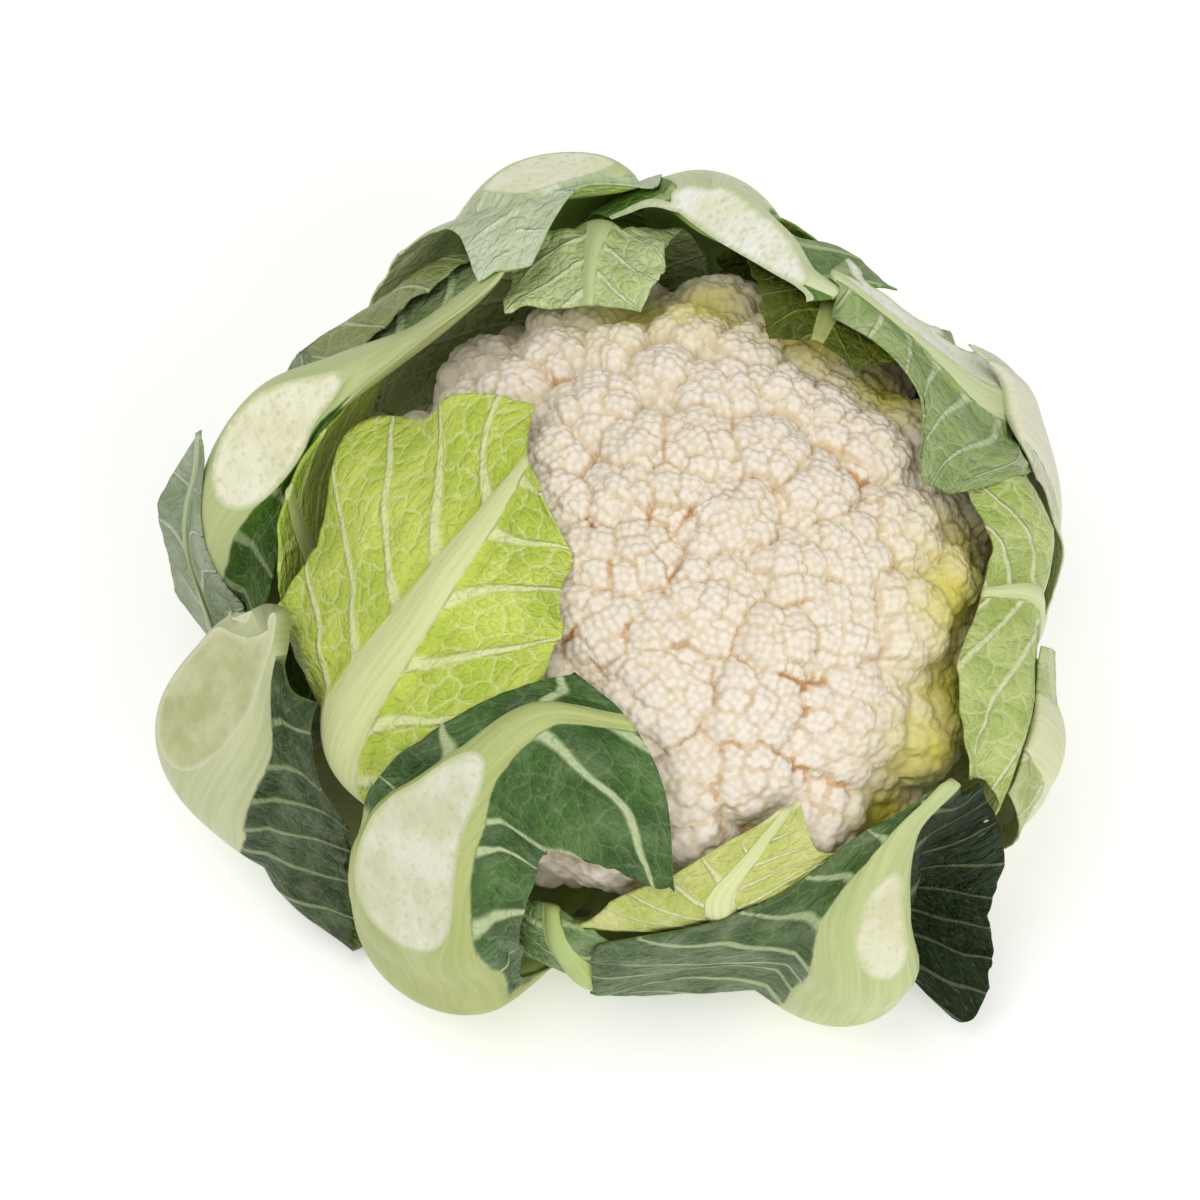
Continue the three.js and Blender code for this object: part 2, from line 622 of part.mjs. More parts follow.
// What a knife takes off: a block whose near face is the knife's plane.
function knifeBlock({ through, azimuth, elevation }) {
  const size = 400;
  const a = radians(azimuth);
  const e = radians(elevation);
  const normal = new THREE.Vector3(Math.cos(a) * Math.cos(e), Math.sin(a) * Math.cos(e), Math.sin(e));
  const block = new THREE.BoxGeometry(size, size, size).translate(0, 0, size / 2);
  const turn = new THREE.Quaternion().setFromUnitVectors(new THREE.Vector3(0, 0, 1), normal);
  block.applyQuaternion(turn);
  const p = fromPolar(through);
  return solidFrom(block.translate(p.x, p.y, p.z));
}

const largest = (solid) =>
  solid.decompose().reduce((a, b) => (b.volume() > a.volume() ? b : a));

function geometryFrom(solid) {
  const mesh = solid.getMesh();
  const geometry = new THREE.BufferGeometry();
  geometry.setAttribute("position", new THREE.BufferAttribute(mesh.vertProperties, 3));
  geometry.setIndex(new THREE.BufferAttribute(mesh.triVerts, 1));
  return geometry;
}

function node(name, geometry, colour, roughness) {
  const material = new THREE.MeshStandardMaterial({ color: colour, roughness, metalness: 0 });
  const mesh = new THREE.Mesh(geometry, material);
  mesh.name = name;
  return mesh;
}

// Leaves are laid from the inside out, each draped over the last, and then cut clear of the stalk,
// the curd and the leaves before it, which are grown by the clearance for the cut.
function laidLeaves(curd, stalk) {
  const both = new THREE.MeshBasicMaterial({ side: THREE.DoubleSide });
  const under = [new THREE.Mesh(curd, both)];
  const taken = [solidFrom(curd), solidFrom(stalk)];
  return LEAVES.map((leaf) => {
    const rows = leafGrid(leaf);
    drape(rows, under);
    const shape = leafGeometry(rows);
    under.push(new THREE.Mesh(shape, both));
    let solid = solidFrom(shape);
    if (leaf.knife) solid = solid.subtract(knifeBlock(leaf.knife));
    for (const other of taken) solid = solid.subtract(other);
    solid = largest(solid);
    taken.push(solidFrom(leafGeometry(rows, CLEARANCE)).add(solid));
    return node(leaf.name, geometryFrom(solid), leaf.colour, 0.6);
  });
}

const curdShape = curdGeometry();
const stalkShape = stalkGeometry();
const cauliflower = new THREE.Group();
cauliflower.add(node("curd", curdShape, COLOURS.curd, 0.75));
cauliflower.add(node("stalk", stalkShape, COLOURS.stalk, 0.7));
cauliflower.add(...laidLeaves(curdShape, stalkShape));

export default cauliflower;
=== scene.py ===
# The looks of a trimmed cauliflower: a cream curd of florets on florets, wrapped in ribbed and
# veined leaves whose thick ribs a knife has shaved off round the shoulder. Every leaf, the curd
# and the stalk is a finer piece with the form of its solid.
import math

import bmesh
import bpy
import numpy as np
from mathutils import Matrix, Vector, kdtree
from mathutils.bvhtree import BVHTree
from mathutils.geometry import delaunay_2d_cdt


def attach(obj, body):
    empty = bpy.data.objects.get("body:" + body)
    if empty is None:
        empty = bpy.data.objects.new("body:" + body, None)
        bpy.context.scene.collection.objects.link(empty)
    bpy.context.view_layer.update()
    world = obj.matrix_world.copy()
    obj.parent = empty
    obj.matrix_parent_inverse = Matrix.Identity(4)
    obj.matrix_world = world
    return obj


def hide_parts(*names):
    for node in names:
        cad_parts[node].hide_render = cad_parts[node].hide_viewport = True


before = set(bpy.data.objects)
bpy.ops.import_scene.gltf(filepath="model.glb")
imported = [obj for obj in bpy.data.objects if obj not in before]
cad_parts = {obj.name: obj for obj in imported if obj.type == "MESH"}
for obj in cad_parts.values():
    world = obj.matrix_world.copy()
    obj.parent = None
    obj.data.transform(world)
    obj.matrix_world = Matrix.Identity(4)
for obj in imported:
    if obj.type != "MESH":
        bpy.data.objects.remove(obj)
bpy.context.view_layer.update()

# Sizes in mm, as in the solids; MM turns them into metres.
MM = 0.001
CENTRE = np.array([0.0, 0.0, 76.0])
HALF_WIDTH = 82
HALF_DEPTH = 87
ABOVE = 54
BELOW = 36
STALK_HEIGHT = 39.4
CLEARANCE = 0.35
GOLDEN_ANGLE = math.pi * (3 - math.sqrt(5))

# Florets that show between the leaves: (azimuth, tilt from the crown, radius) in degrees and mm.
SHOWN_FLORETS = [
    (145, 64, 9), (137, 56, 7), (122, 55, 9), (107, 49, 8), (87, 51, 9), (70, 50, 9), (126, 36, 11),
    (95, 38, 8), (72, 34, 10), (54, 42, 10), (36, 46, 11), (23, 53, 11), (155, 35, 9), (181, 30, 8),
    (122, 18, 10), (72, 16, 10), (32, 26, 10), (176, 15, 8), (151, 3, 8), (337, 15, 12),
    (236, 21, 11), (213, 30, 10), (7, 34, 11), (284, 30, 15), (327, 34, 9), (344, 43, 12),
    (322, 48, 13), (359, 55, 11), (337, 61, 12), (240, 38, 9), (259, 36, 9), (262, 48, 15),
    (289, 52, 11), (304, 43, 8), (310, 65, 18), (272, 65, 11), (284, 65, 10), (295, 80, 13),
    (273, 75, 8), (259, 79, 11), (352, 68, 10), (224, 39, 8),
]
FLORET_SEED = 4711
SPIRAL_COUNT = 90
SPIRAL_STEP = 0.225
SPIRAL_ROOM = 19
SPIRAL_RADIUS = 12
DOME_PER_RADIUS = 1.9
DEEPEST = 4.5
RISE = 1
BUDS_IN_RING = 6
RING_AT = 0.72
BUD_DOME = 0.8
DEEPEST_BUD = 1.6

# The leaves' coarse grid, on which each is draped over the ones inside it.
ROW_SPACING = 13
RIB_STEPS = 2
BLADE_STEP = 16
MOST_BLADE_STEPS = 3
BLADE_THICKNESS = 0.9
DRAPE_GAP = 0.8
ROOT_STATIONS = 2
FLANK_STEP = 0.1
OUTER_SHARE = 0.72

# Each leaf: its rib as stations (azimuth, radius, height) in degrees and mm from the stalk to the
# tip, with the rib's width and depth there, and its folds and edge from the third station on, to
# the left and the right, None where the leaf is bare rib. A ruffle is a size, a count of waves and
# a start, and a knife's cut is a station that it goes through, an azimuth and an elevation.
LEAVES = [
    {
        "name": "leaf_left_small",
        "rib": [(174, 24, 31), (174, 60, 38), (176, 88, 76), (171, 94, 100)],
        "width": [15, 20, 9, 3],
        "depth": [6, 6, 3, 1.4],
        "left": [[(146, 89, 77), (147, 84, 105)]],
        "right": [[(189, 91, 74), (184, 95, 88)]],
        "ruffle": (0.8, 4, 0.1),
    },
    {
        "name": "leaf_left_inner",
        "rib": [(208, 24, 31), (208, 58, 38), (209, 88, 70), (209, 85, 98), (206, 70, 114),
                (200, 57, 122), (188, 44, 126), (168, 36, 128)],
        "width": [15, 26, 24, 19, 14, 10, 7, 3],
        "depth": [7, 8, 8, 6, 5, 4, 3, 1.4],
        "left": [[(184, 92, 66), (185, 92, 88), (174, 85, 100), (158, 80, 105), (154, 63, 118),
                  (144, 43, 126)]],
        "right": [[(238, 93, 70), (230, 80, 106), (234, 57, 121), (230, 44, 126), (219, 34, 129),
                   (184, 31, 130)]],
        "ruffle": (2.8, 4, 0.2),
    },
    {
        "name": "leaf_back_inner",
        "rib": [(104, 24, 31), (104, 60, 38), (104, 90, 74), (103, 82, 113), (106, 73, 117),
                (111, 59, 119)],
        "width": [15, 24, 18, 9, 5, 3],
        "depth": [6, 7, 6, 3.5, 2.4, 1.4],
        "left": [[(84, 91, 72), (92, 73, 117), (92, 63, 122), (99, 54, 122)]],
        "right": [[(142, 92, 72), (115, 86, 112), (119, 82, 108), (126, 70, 112)]],
        "ruffle": (1.4, 5, 0.4),
    },
    {
        "name": "leaf_right_back_inner",
        "rib": [(54, 24, 31), (54, 60, 38), (55, 90, 74), (57, 71, 114), (53, 55, 121)],
        "width": [15, 22, 14, 6, 3],
        "depth": [6, 7, 5, 2.4, 1.2],
        "left": [[(28, 88, 72), (38, 67, 117), (39, 56, 120)]],
        "right": [[(80, 90, 72), (72, 65, 120), (62, 46, 126)]],
        "ruffle": (1.2, 5, 0.1),
    },
    {
        "name": "leaf_right_inner",
        "rib": [(352, 24, 31), (352, 60, 38), (352, 85, 72), (352, 84, 97), (347, 73, 107)],
        "width": [15, 22, 14, 7, 3],
        "depth": [6, 7, 4, 3, 1.4],
        "left": [[(336, 89, 70), (335, 90, 91), (328, 75, 106)],
                 [(318, 90, 66), (321, 94, 82), (320, 86, 94)]],
        "right": [[(2, 88, 72), (3, 88, 99), (358, 74, 108)],
                  [(22, 88, 70), (16, 82, 105), (7, 71, 111)]],
        "ruffle": (2.4, 3.5, 0.3),
    },
    {
        "name": "leaf_front_inner",
        "rib": [(280, 24, 31), (280, 60, 38), (279, 85, 68), (276, 88, 91), (282, 82, 101),
                (289, 76, 107)],
        "width": [15, 22, 9, 6, 3, 2],
        "depth": [6, 7, 2.6, 2, 1.4, 1.2],
        "left": [[(252, 86, 66), (262, 88, 91), (275, 81, 101), (287, 76, 107)]],
        "right": [[(304, 86, 66), (300, 88, 87), (292, 84, 97), (291, 75, 107)]],
        "ruffle": (0.5, 4, 0),
    },
    {
        "name": "leaf_front_low",
        "rib": [(266, 24, 20), (262, 58, 22), (258, 84, 32), (253, 88, 50), (250, 86, 72)],
        "width": [15, 24, 14, 8, 4],
        "depth": [7, 8, 5, 3, 2],
        "left": [[(244, 82, 28), (241, 85, 48), (240, 86, 68)]],
        "right": [[(272, 80, 28), (264, 86, 52), (257, 86, 74)]],
        "ruffle": (1, 3, 0.1),
    },
    {
        "name": "leaf_left_back",
        "rib": [(160, 24, 20), (163, 62, 25), (168, 98, 48), (168, 109, 78), (163, 103, 97),
                (154, 89, 105), (140, 79, 111), (126, 77, 117), (119, 82, 117)],
        "width": [15, 28, 34, 36, 34, 26, 13, 9, 6],
        "depth": [7, 11, 14, 15, 13, 9, 5, 3.5, 2.4],
        "left": [[(144, 100, 50), (143, 106, 76), (147, 110, 86), (147, 109, 91), (137, 101, 98),
                  (127, 97, 104), (121, 89, 110)],
                 [None, None, None, (151, 95, 103), (141, 90, 110), (129, 87, 114), (122, 86, 115)]],
        "right": [[(188, 96, 44), (187, 99, 64), (181, 98, 80), (166, 93, 98), None, None, None]],
        "ruffle": (0.8, 3, 0.1),
        "knife": ((161, 104, 103), 225, 63),
    },
    {
        "name": "leaf_back_right",
        "rib": [(76, 24, 20), (82, 62, 24), (85, 95, 50), (85, 102, 86), (84, 82, 115), (72, 72, 121),
                (64, 68, 122), (55, 68, 122)],
        "width": [15, 28, 34, 34, 32, 20, 9, 5],
        "depth": [7, 11, 14, 14, 12, 8, 4, 2.4],
        "left": [[(62, 94, 48), (62, 97, 82), (77, 90, 110), (69, 88, 107), (61, 89, 105),
                  (52, 88, 105)]],
        "right": [[(96, 98, 52), (96, 102, 84), (94, 95, 109), (92, 76, 118), (75, 63, 124),
                   (60, 61, 124)],
                  [(103, 98, 54), (104, 100, 84), (102, 92, 105), (98, 80, 115), (85, 64, 121),
                   (67, 58, 122)]],
        "ruffle": (1, 3, 0.4),
        "knife": ((71, 75, 123), 190, 72),
    },
    {
        "name": "leaf_left_outer",
        "rib": [(160, 24, 10), (173, 66, 15), (182, 104, 30), (180, 111, 50), (174, 114, 66),
                (169, 112, 82), (164, 117, 95)],
        "width": [15, 24, 16, 8, 6, 4, 3],
        "depth": [7, 10, 7, 4, 3, 2.4, 1.6],
        "left": [[(168, 112, 30), (174, 124, 48), (171, 127, 62), (168, 127, 76), (163, 121, 94)]],
        "right": [[(192, 100, 34), (182, 97, 58), (178, 97, 72), (173, 103, 82), (166, 113, 94)]],
        "ruffle": (0.8, 2, 0.3),
    },
    {
        "name": "leaf_left_low",
        "rib": [(202, 24, 10), (200, 66, 12), (195, 106, 24), (196, 119, 52), (195, 108, 82),
                (191, 95, 101)],
        "width": [15, 30, 34, 38, 36, 22],
        "depth": [7, 12, 15, 15, 12, 8],
        "left": [[None, None, None, (190, 103, 97)]],
        "right": [[(207, 111, 20), (207, 108, 42), (206, 100, 67), (200, 98, 90)],
                  [(219, 102, 8), (214, 98, 34), (211, 95, 60), (203, 95, 90)]],
        "ruffle": (1.6, 2.2, 0.5),
        "knife": ((196, 111, 84), 205, 38),
    },
    {
        "name": "leaf_front_left",
        "rib": [(238, 24, 10), (236, 62, 12), (233, 92, 24), (232, 98, 58), (231, 87, 90),
                (235, 77, 116), (241, 64, 123), (259, 60, 124)],
        "width": [15, 32, 38, 40, 30, 11, 7, 4],
        "depth": [7, 12, 17, 18, 14, 6, 3.5, 2],
        "left": [[None, (222, 101, 66), (219, 93, 88), (223, 79, 108), (231, 64, 121),
                  (243, 53, 127)]],
        "right": [[(243, 92, 28), (243, 96, 56), (242, 88, 97), (244, 82, 111), (252, 75, 117),
                   (267, 73, 117)],
                  [(245, 88, 26), (246, 90, 54), (248, 89, 92), (250, 87, 106), (259, 87, 105),
                   (269, 90, 100)]],
        "ruffle": (1, 2.5, 0.2),
        "knife": ((231, 107, 77), 229, 33),
    },
    {
        "name": "leaf_front_right",
        "rib": [(292, 24, 10), (296, 62, 12), (297, 88, 22), (298, 97, 48), (298, 94, 80),
                (306, 88, 94), (316, 88, 99)],
        "width": [15, 30, 34, 34, 25, 11, 7],
        "depth": [7, 12, 15, 15, 10, 4, 2.4],
        "left": [[(281, 82, 22), (280, 86, 48), (280, 90, 74), (297, 87, 95), (312, 86, 99)],
                 [(257, 82, 20), (257, 84, 40), (258, 88, 66), (295, 86, 95), (311, 85, 99)]],
        "right": [[(308, 92, 14), (311, 86, 26), (313, 84, 46), (313, 86, 70), (317, 90, 92)],
                  [(310, 109, 11), (315, 109, 27), (319, 102, 50), (321, 95, 76), (320, 92, 92)]],
        "ruffle": (1.4, 2.5, 0.3),
        "knife": ((301, 99, 83), 300, 27),
    },
    {
        "name": "leaf_right_back",
        "rib": [(44, 24, 10), (43, 62, 12), (40, 86, 34), (36, 89, 70), (32, 80, 102), (42, 76, 112),
                (50, 72, 117), (59, 68, 121)],
        "width": [15, 26, 28, 28, 22, 13, 8, 5],
        "depth": [7, 10, 11, 11, 9, 5, 3, 2],
        "left": [[(28, 88, 36), (26, 89, 72), (18, 78, 104), (27, 69, 114), (37, 68, 117),
                  (56, 66, 122)],
                 [(24, 88, 40), (20, 89, 78), (6, 64, 112), (7, 58, 116), (26, 64, 118),
                  (54, 63, 121)]],
        "right": [[(60, 90, 40), (56, 92, 74), (42, 90, 98), (44, 86, 105), (52, 87, 107),
                   (60, 85, 111)]],
        "ruffle": (1, 4, 0.2),
        "knife": ((40, 79, 112), 39, 40),
    },
    {
        "name": "leaf_right_low",
        "rib": [(332, 24, 10), (338, 64, 12), (342, 90, 32), (338, 95, 56), (334, 92, 87)],
        "width": [15, 28, 30, 26, 14],
        "depth": [7, 10, 9, 6, 3],
        "left": [[(328, 92, 30), (325, 95, 48), (324, 94, 80)]],
        "right": [[(358, 88, 34), (353, 89, 60), (346, 88, 90)]],
        "ruffle": (1.2, 2, 0.3),
    },
    {
        "name": "leaf_right_outer",
        "rib": [(8, 24, 10), (11, 64, 12), (14, 88, 28), (18, 94, 60), (26, 87, 101)],
        "width": [15, 28, 32, 30, 20],
        "depth": [7, 10, 9, 6, 3.5],
        "left": [[(2, 88, 30), (5, 93, 60), (14, 88, 93)]],
        "right": [[(25, 91, 32), (29, 97, 62), (36, 84, 106)]],
        "ruffle": (0.6, 2, 0.2),
    },
    {
        "name": "leaf_back_left",
        "rib": [(102, 24, 10), (112, 66, 12), (114, 101, 30), (111, 110, 66), (108, 97, 114),
                (114, 90, 121), (123, 75, 122)],
        "width": [15, 30, 36, 40, 40, 8, 5],
        "depth": [7, 11, 12, 12, 12, 2.4, 1.4],
        "left": [[(98, 99, 30), (95, 106, 66), (93, 92, 114), (104, 90, 122), (119, 72, 124)]],
        "right": [[(140, 94, 34), (138, 106, 68), (128, 101, 109), (125, 94, 118), (128, 77, 121)]],
        "ruffle": (0.6, 2, 0),
        "knife": ((110, 104, 113), 105, 52),
    },
]

# The curd's surface: facets to a side of each icosahedron face, crowded towards the crown. Fine
# beads make up lumps and lumps make up florets, so that each has the next one's scalloped edge.
CURD_FREQUENCY = 128
CURD_LEAN = 0.8
LUMP_SPACING = 7.2
LUMP_RADIUS = 6.2
LUMP_SHARE = 0.6
LUMP_PULL = 0.4
LUMP_REACH = 0.8
LUMP_SEED = 5
BEAD_SPACING = 2.25
BEAD_RADIUS = 1.45
BEAD_SHARE = 0.55
BEAD_PULL = 0.5
BEAD_REACH = 0.97
BEAD_SEED = 9
LOOSENESS = 0.3
GROOVE = 0.35
GROOVE_WIDTH = 0.6
LUMP_GROOVE = 0.15
LUMP_GROOVE_WIDTH = 0.5

# The outline's area in mm2, how far apart the rows of a hexagon pattern are for a spacing of 1, where
# the relief fades out towards the curd's underside, and the facets of the curd's solid.
OUTLINE_AREA = 76000
HEXAGON = 0.87
FADE_FROM = 0.62
FADE_OVER = 0.3
SOLID_FREQUENCY = 17
SOLID_LEAN = 0.42

# Where creases are rusty and where the curd's edge is tinted yellow: (azimuth, tilt, size in mm).
BROWNED = [
    (205, 21, 13), (256, 30, 14), (233, 44, 13), (298, 52, 14), (290, 61, 13), (295, 71, 12),
    (11, 44, 10), (13, 5, 12), (136, 46, 9), (278, 73, 12),
]
YELLOWED = [
    (345, 68, 15), (332, 76, 15), (321, 80, 15), (357, 72, 15), (85, 60, 14), (60, 61, 13),
    (99, 60, 13), (38, 66, 12), (308, 86, 12),
]

# Fine leaf meshes, the faces of cuts and how far out rays start, in mm.
FINE_SPACING = 1.5
FINE_GAP = 0.25
CUT_SPACING = 1.3
FAR = 300.0

# Samples across a leaf between two of its curves, for the form of its solid and for its finer one.
COARSE_SAMPLES = 10
FINE_SAMPLES = 24

# How many times a lift is eased out and blurred over a leaf's grid.
COARSE_SPREAD = 2
LIFT_BLUR = 6
FINE_SPREAD = 10
PUSH_BLUR = 2

# Tears, puckers and flutter on a leaf, how its lateral veins lean and bend, and how far one leaf's
# patterns are moved from the last one's, in mm.
TEAR_SIZE = 7
TEAR_DEPTH = 0.05
PUCKER_SIZE = 8
FLUTTER_SIZE = 12
VEIN_LEAN = 0.75
VEIN_BEND = 0.006
LEAF_SHIFT = 43.0

# A blade is thickest at its rib and thins towards its edge, in mm.
BLADE_AT_RIB = 0.8
BLADE_THINS = 0.3

# A cut face has small pits and long shallow ridges from the knife, in mm.
PIT_DEPTH = 0.32
PIT_SIZE = 2.4
RIDGE_HEIGHT = 0.16

# The stalk's outline as (radius, height) in mm, and its rings and sides.
STALK_PROFILE = np.array([
    (0.0, 0.0), (7.0, 0.0), (14.0, 0.0), (21.0, 0.0), (22.0, 1.5), (21.4, 6.0), (20.6, 13.0),
    (19.9, 20.0), (19.4, 27.0), (19.0, 34.0), (17.6, 37.4), (16.0, 39.4), (0.0, 39.4),
])
STALK_RINGS = 160
STALK_SIDES = 144

# The camera stands where the photograph, which is 1200 pixels across, was taken from. Lengths for
# the stage are in metres.
CAMERA_ELEVATION = 62
CAMERA_AIM = (-0.0185, 0.0066, 0.060)
CAMERA_DISTANCE = 1.1
PHOTO_PIXELS = 1200
PIXELS_PER_MM = 4.06
SENSOR_WIDTH = 36
FLOOR_HALF = 3.0
FLOOR_GLOW = 0.3
LIT_POINT = (0, 0, 0.07)
WORLD_LIGHT = 0.47

# Each lamp's place and size in metres and its power in watts.
LAMPS = {
    "key": ((-0.32, -0.2, 1.22), 0.8, 5.3),
    "fill": ((0.55, -0.75, 0.85), 1.0, 4.9),
}

# The looks of a leaf: the colours of its parts, a lighter and a darker one where there are two, how
# its veins are spaced and how wide they are in mm, and how strong the rest is. A leaf whose blade is
# another colour to the right of its rib has "right"; on some leaves that darker side is painted
# shade.
COMMON_LOOK = {
    "slot": "leaf_outer", "blade": ("#7f9a5c", "#648043"), "underside": "#9fb06c",
    "vein": "#d3dbb0", "rib": ("#cdd59f", "#b4c180"), "flesh": ("#f0eedc", "#dfddbb"),
    "flesh_rim": "#b9c58a", "root": "#dcdfb8", "root_reach": 0.55, "rib_edge": 0.9,
    "rib_soft": 0.2, "inner_rib": 0.2, "right_until": 1.1, "bloom": 0.2, "wax": "#a6b48c",
    "net": 0.3, "vein_spacing": 15.0, "vein_width": 1.1, "vein_contrast": 0.8, "vein_relief": 0.5,
    "crinkle": 0.5, "flutter": 0.8, "ragged": 1.0, "rough": 0.45,
}
LOOKS = {
    "leaf_left_small": {
        "slot": "leaf_inner", "blade": ("#a9c440", "#8fb02c"), "vein": "#d0dd84",
        "rib": ("#cdd98c", "#b4c180"), "underside": "#b4c85a", "bloom": 0.0, "crinkle": 0.9,
        "ragged": 2.0,
    },
    "leaf_left_inner": {
        "slot": "leaf_inner", "blade": ("#cbd85c", "#b2c644"), "vein": "#e6eaae",
        "rib": ("#dbdea4", "#c3cc80"), "underside": "#c6d268", "bloom": 0.0, "vein_spacing": 17.0,
        "vein_width": 1.5, "crinkle": 1.5, "flutter": 1.8, "net": 0.55, "rib_edge": 0.72,
        "rib_soft": 0.4,
    },
    "leaf_back_inner": {
        "slot": "leaf_inner", "blade": ("#c8d898", "#b2c57c"), "vein": "#e2eabc",
        "rib": ("#c6d29a", "#b4c180"), "underside": "#b2c07e", "crinkle": 1.7,
        "vein_spacing": 10.0, "vein_width": 0.7, "net": 0.5, "rib_edge": 0.6, "rib_soft": 0.4,
    },
    "leaf_right_back_inner": {
        "slot": "leaf_inner", "blade": ("#565f12", "#434c0c"), "vein": "#868c3c",
        "rib": ("#a2a860", "#b4c180"), "underside": "#6d7420", "bloom": 0.0, "crinkle": 1.0,
        "vein_spacing": 10.0, "vein_width": 0.6, "ragged": 2.4,
    },
    "leaf_right_inner": {
        "slot": "leaf_inner", "blade": ("#bcca78", "#a3b65c"), "vein": "#dde2ae",
        "rib": ("#d9dfa8", "#b4c180"), "underside": "#b9c678", "bloom": 0.1, "crinkle": 1.5,
        "vein_spacing": 11.0, "vein_width": 0.8, "ragged": 1.6, "net": 0.45, "rib_edge": 0.6,
        "rib_soft": 0.4,
    },
    "leaf_front_inner": {
        "slot": "leaf_inner", "blade": ("#cdd17c", "#b9c260"), "vein": "#e3e5ac",
        "rib": ("#dfe2a8", "#b4c180"), "underside": "#c8cf7c", "bloom": 0.0, "vein_spacing": 8.0,
        "vein_width": 0.6,
    },
    "leaf_front_low": {
        "blade": ("#6c8c46", "#50722e"), "vein": "#b4c688", "rib": ("#b9cc7c", "#a0b75e"),
    },
    "leaf_left_back": {
        "blade": ("#7f9360", "#627a44"), "vein": "#c0cc9c", "rib": ("#c3cb92", "#b4c180"),
        # The dark green right of the rib, with its veins faint, is painted shade in the hollow under
        # the blade.
        "underside": "#8f9040", "bloom": 0.15, "right": ("#4a6a24", "#33501a"),
        "right_contrast": 0.4, "flesh": ("#f0eed4", "#e2e0b8"),
    },
    "leaf_back_right": {
        "blade": ("#6f9440", "#55782c"), "vein": "#c0cf8c", "rib": ("#d5dcae", "#bccb88"),
        "flesh": ("#f7f6ea", "#eae9cc"), "bloom": 0.1, "underside": "#93bc34", "inner_rib": 0.6,
    },
    "leaf_left_outer": {
        "slot": "leaf_waxy", "blade": ("#a0ac8c", "#84956e"), "vein": "#cad4b6",
        "rib": ("#b8c49c", "#9db07c"), "underside": "#a2ae8a", "bloom": 0.5, "vein_spacing": 13.0,
        "vein_width": 0.9, "wax": "#b4bea8", "net": 0.18,
    },
    "leaf_left_low": {
        "slot": "leaf_waxy", "blade": ("#3a5024", "#293c18"), "vein": "#94a576",
        "rib": ("#c8cca0", "#b0b886"), "flesh": ("#cecfa0", "#b6b97e"), "flesh_rim": "#dadfba",
        "vein_width": 0.9, "net": 0.12,
    },
    "leaf_front_left": {
        "blade": ("#466b2a", "#2f501a"), "vein": "#bccb98", "rib": ("#bac27e", "#9cac62"),
        # The darker root colour, reaching far along the rib, is painted shade on the petiole's lower
        # end.
        "root": "#9c9e50", "bloom": 0.15, "vein_spacing": 22.0, "root_reach": 0.85,
        "vein_width": 1.9, "vein_contrast": 0.95, "flesh": ("#e4e3cc", "#d2d2ae"), "net": 0.1,
    },
    "leaf_front_right": {
        "blade": ("#4b6630", "#37521f"), "vein": "#b4c492", "rib": ("#c4cc90", "#a4b672"),
        # The near-black right of the rib, with its veins faint, is partly the leaf's dark green and
        # partly painted shade inside the hanging blade's hollow.
        "vein_spacing": 13.0, "vein_width": 1.0, "right": ("#1e3014", "#14220c"),
        "right_contrast": 0.22, "net": 0.12, "ragged": 0.35, "flesh": ("#e4e2c6", "#d3d2a6"),
    },
    "leaf_right_back": {
        "blade": ("#9db06a", "#809a56"), "vein": "#c8d4a6", "rib": ("#ced6a8", "#b4c180"),
        "bloom": 0.3, "flesh": ("#f4f4e6", "#e6e8cc"), "vein_spacing": 9.0, "vein_width": 0.8,
    },
    "leaf_right_low": {
        "slot": "leaf_rib", "blade": ("#c3cc90", "#a4b26c"), "vein": "#dde0b8",
        "rib": ("#dcdcb4", "#c3c88e"), "bloom": 0.1,
    },
    "leaf_right_outer": {
        "slot": "leaf_rib", "blade": ("#dcdcbe", "#cbcfa6"), "vein": "#e4e5cc",
        "rib": ("#e6e3cc", "#d3d5ae"), "bloom": 0.0,
    },
    "leaf_back_left": {
        "slot": "leaf_rib", "blade": ("#ccd8b6", "#b8c79c"), "vein": "#e3eacc",
        "right": ("#dfe3bd", "#cfd79f"), "right_contrast": 0.3, "rib": ("#cdd49c", "#b5c07c"),
        "bloom": 0.3, "flesh": ("#fafae2", "#f1f2c8"), "underside": "#a8cc40", "inner_rib": 0.7,
        "right_until": 0.85, "rib_until": 0.86, "net": 0.2,
    },
}


def smooth(x):
    x = np.clip(x, 0, 1)
    return x * x * (3 - 2 * x)


def unit(v):
    return v / np.linalg.norm(v, axis=-1, keepdims=True)


def from_polar(station):
    azimuth, radius, height = station
    a = math.radians(azimuth)
    return np.array([radius * math.cos(a), radius * math.sin(a), height])


def head_reach(q):
    vertical = np.where(q[..., 2] > 0, ABOVE, BELOW)
    return 1 / np.sqrt(
        (q[..., 0] / HALF_WIDTH) ** 2 + (q[..., 1] / HALF_DEPTH) ** 2 + (q[..., 2] / vertical) ** 2
    )


def seeded_random(seed):
    """Park and Miller's generator: the same draw everywhere."""
    state = seed
    while True:
        state = (state * 16807) % 2147483647
        yield state / 2147483647


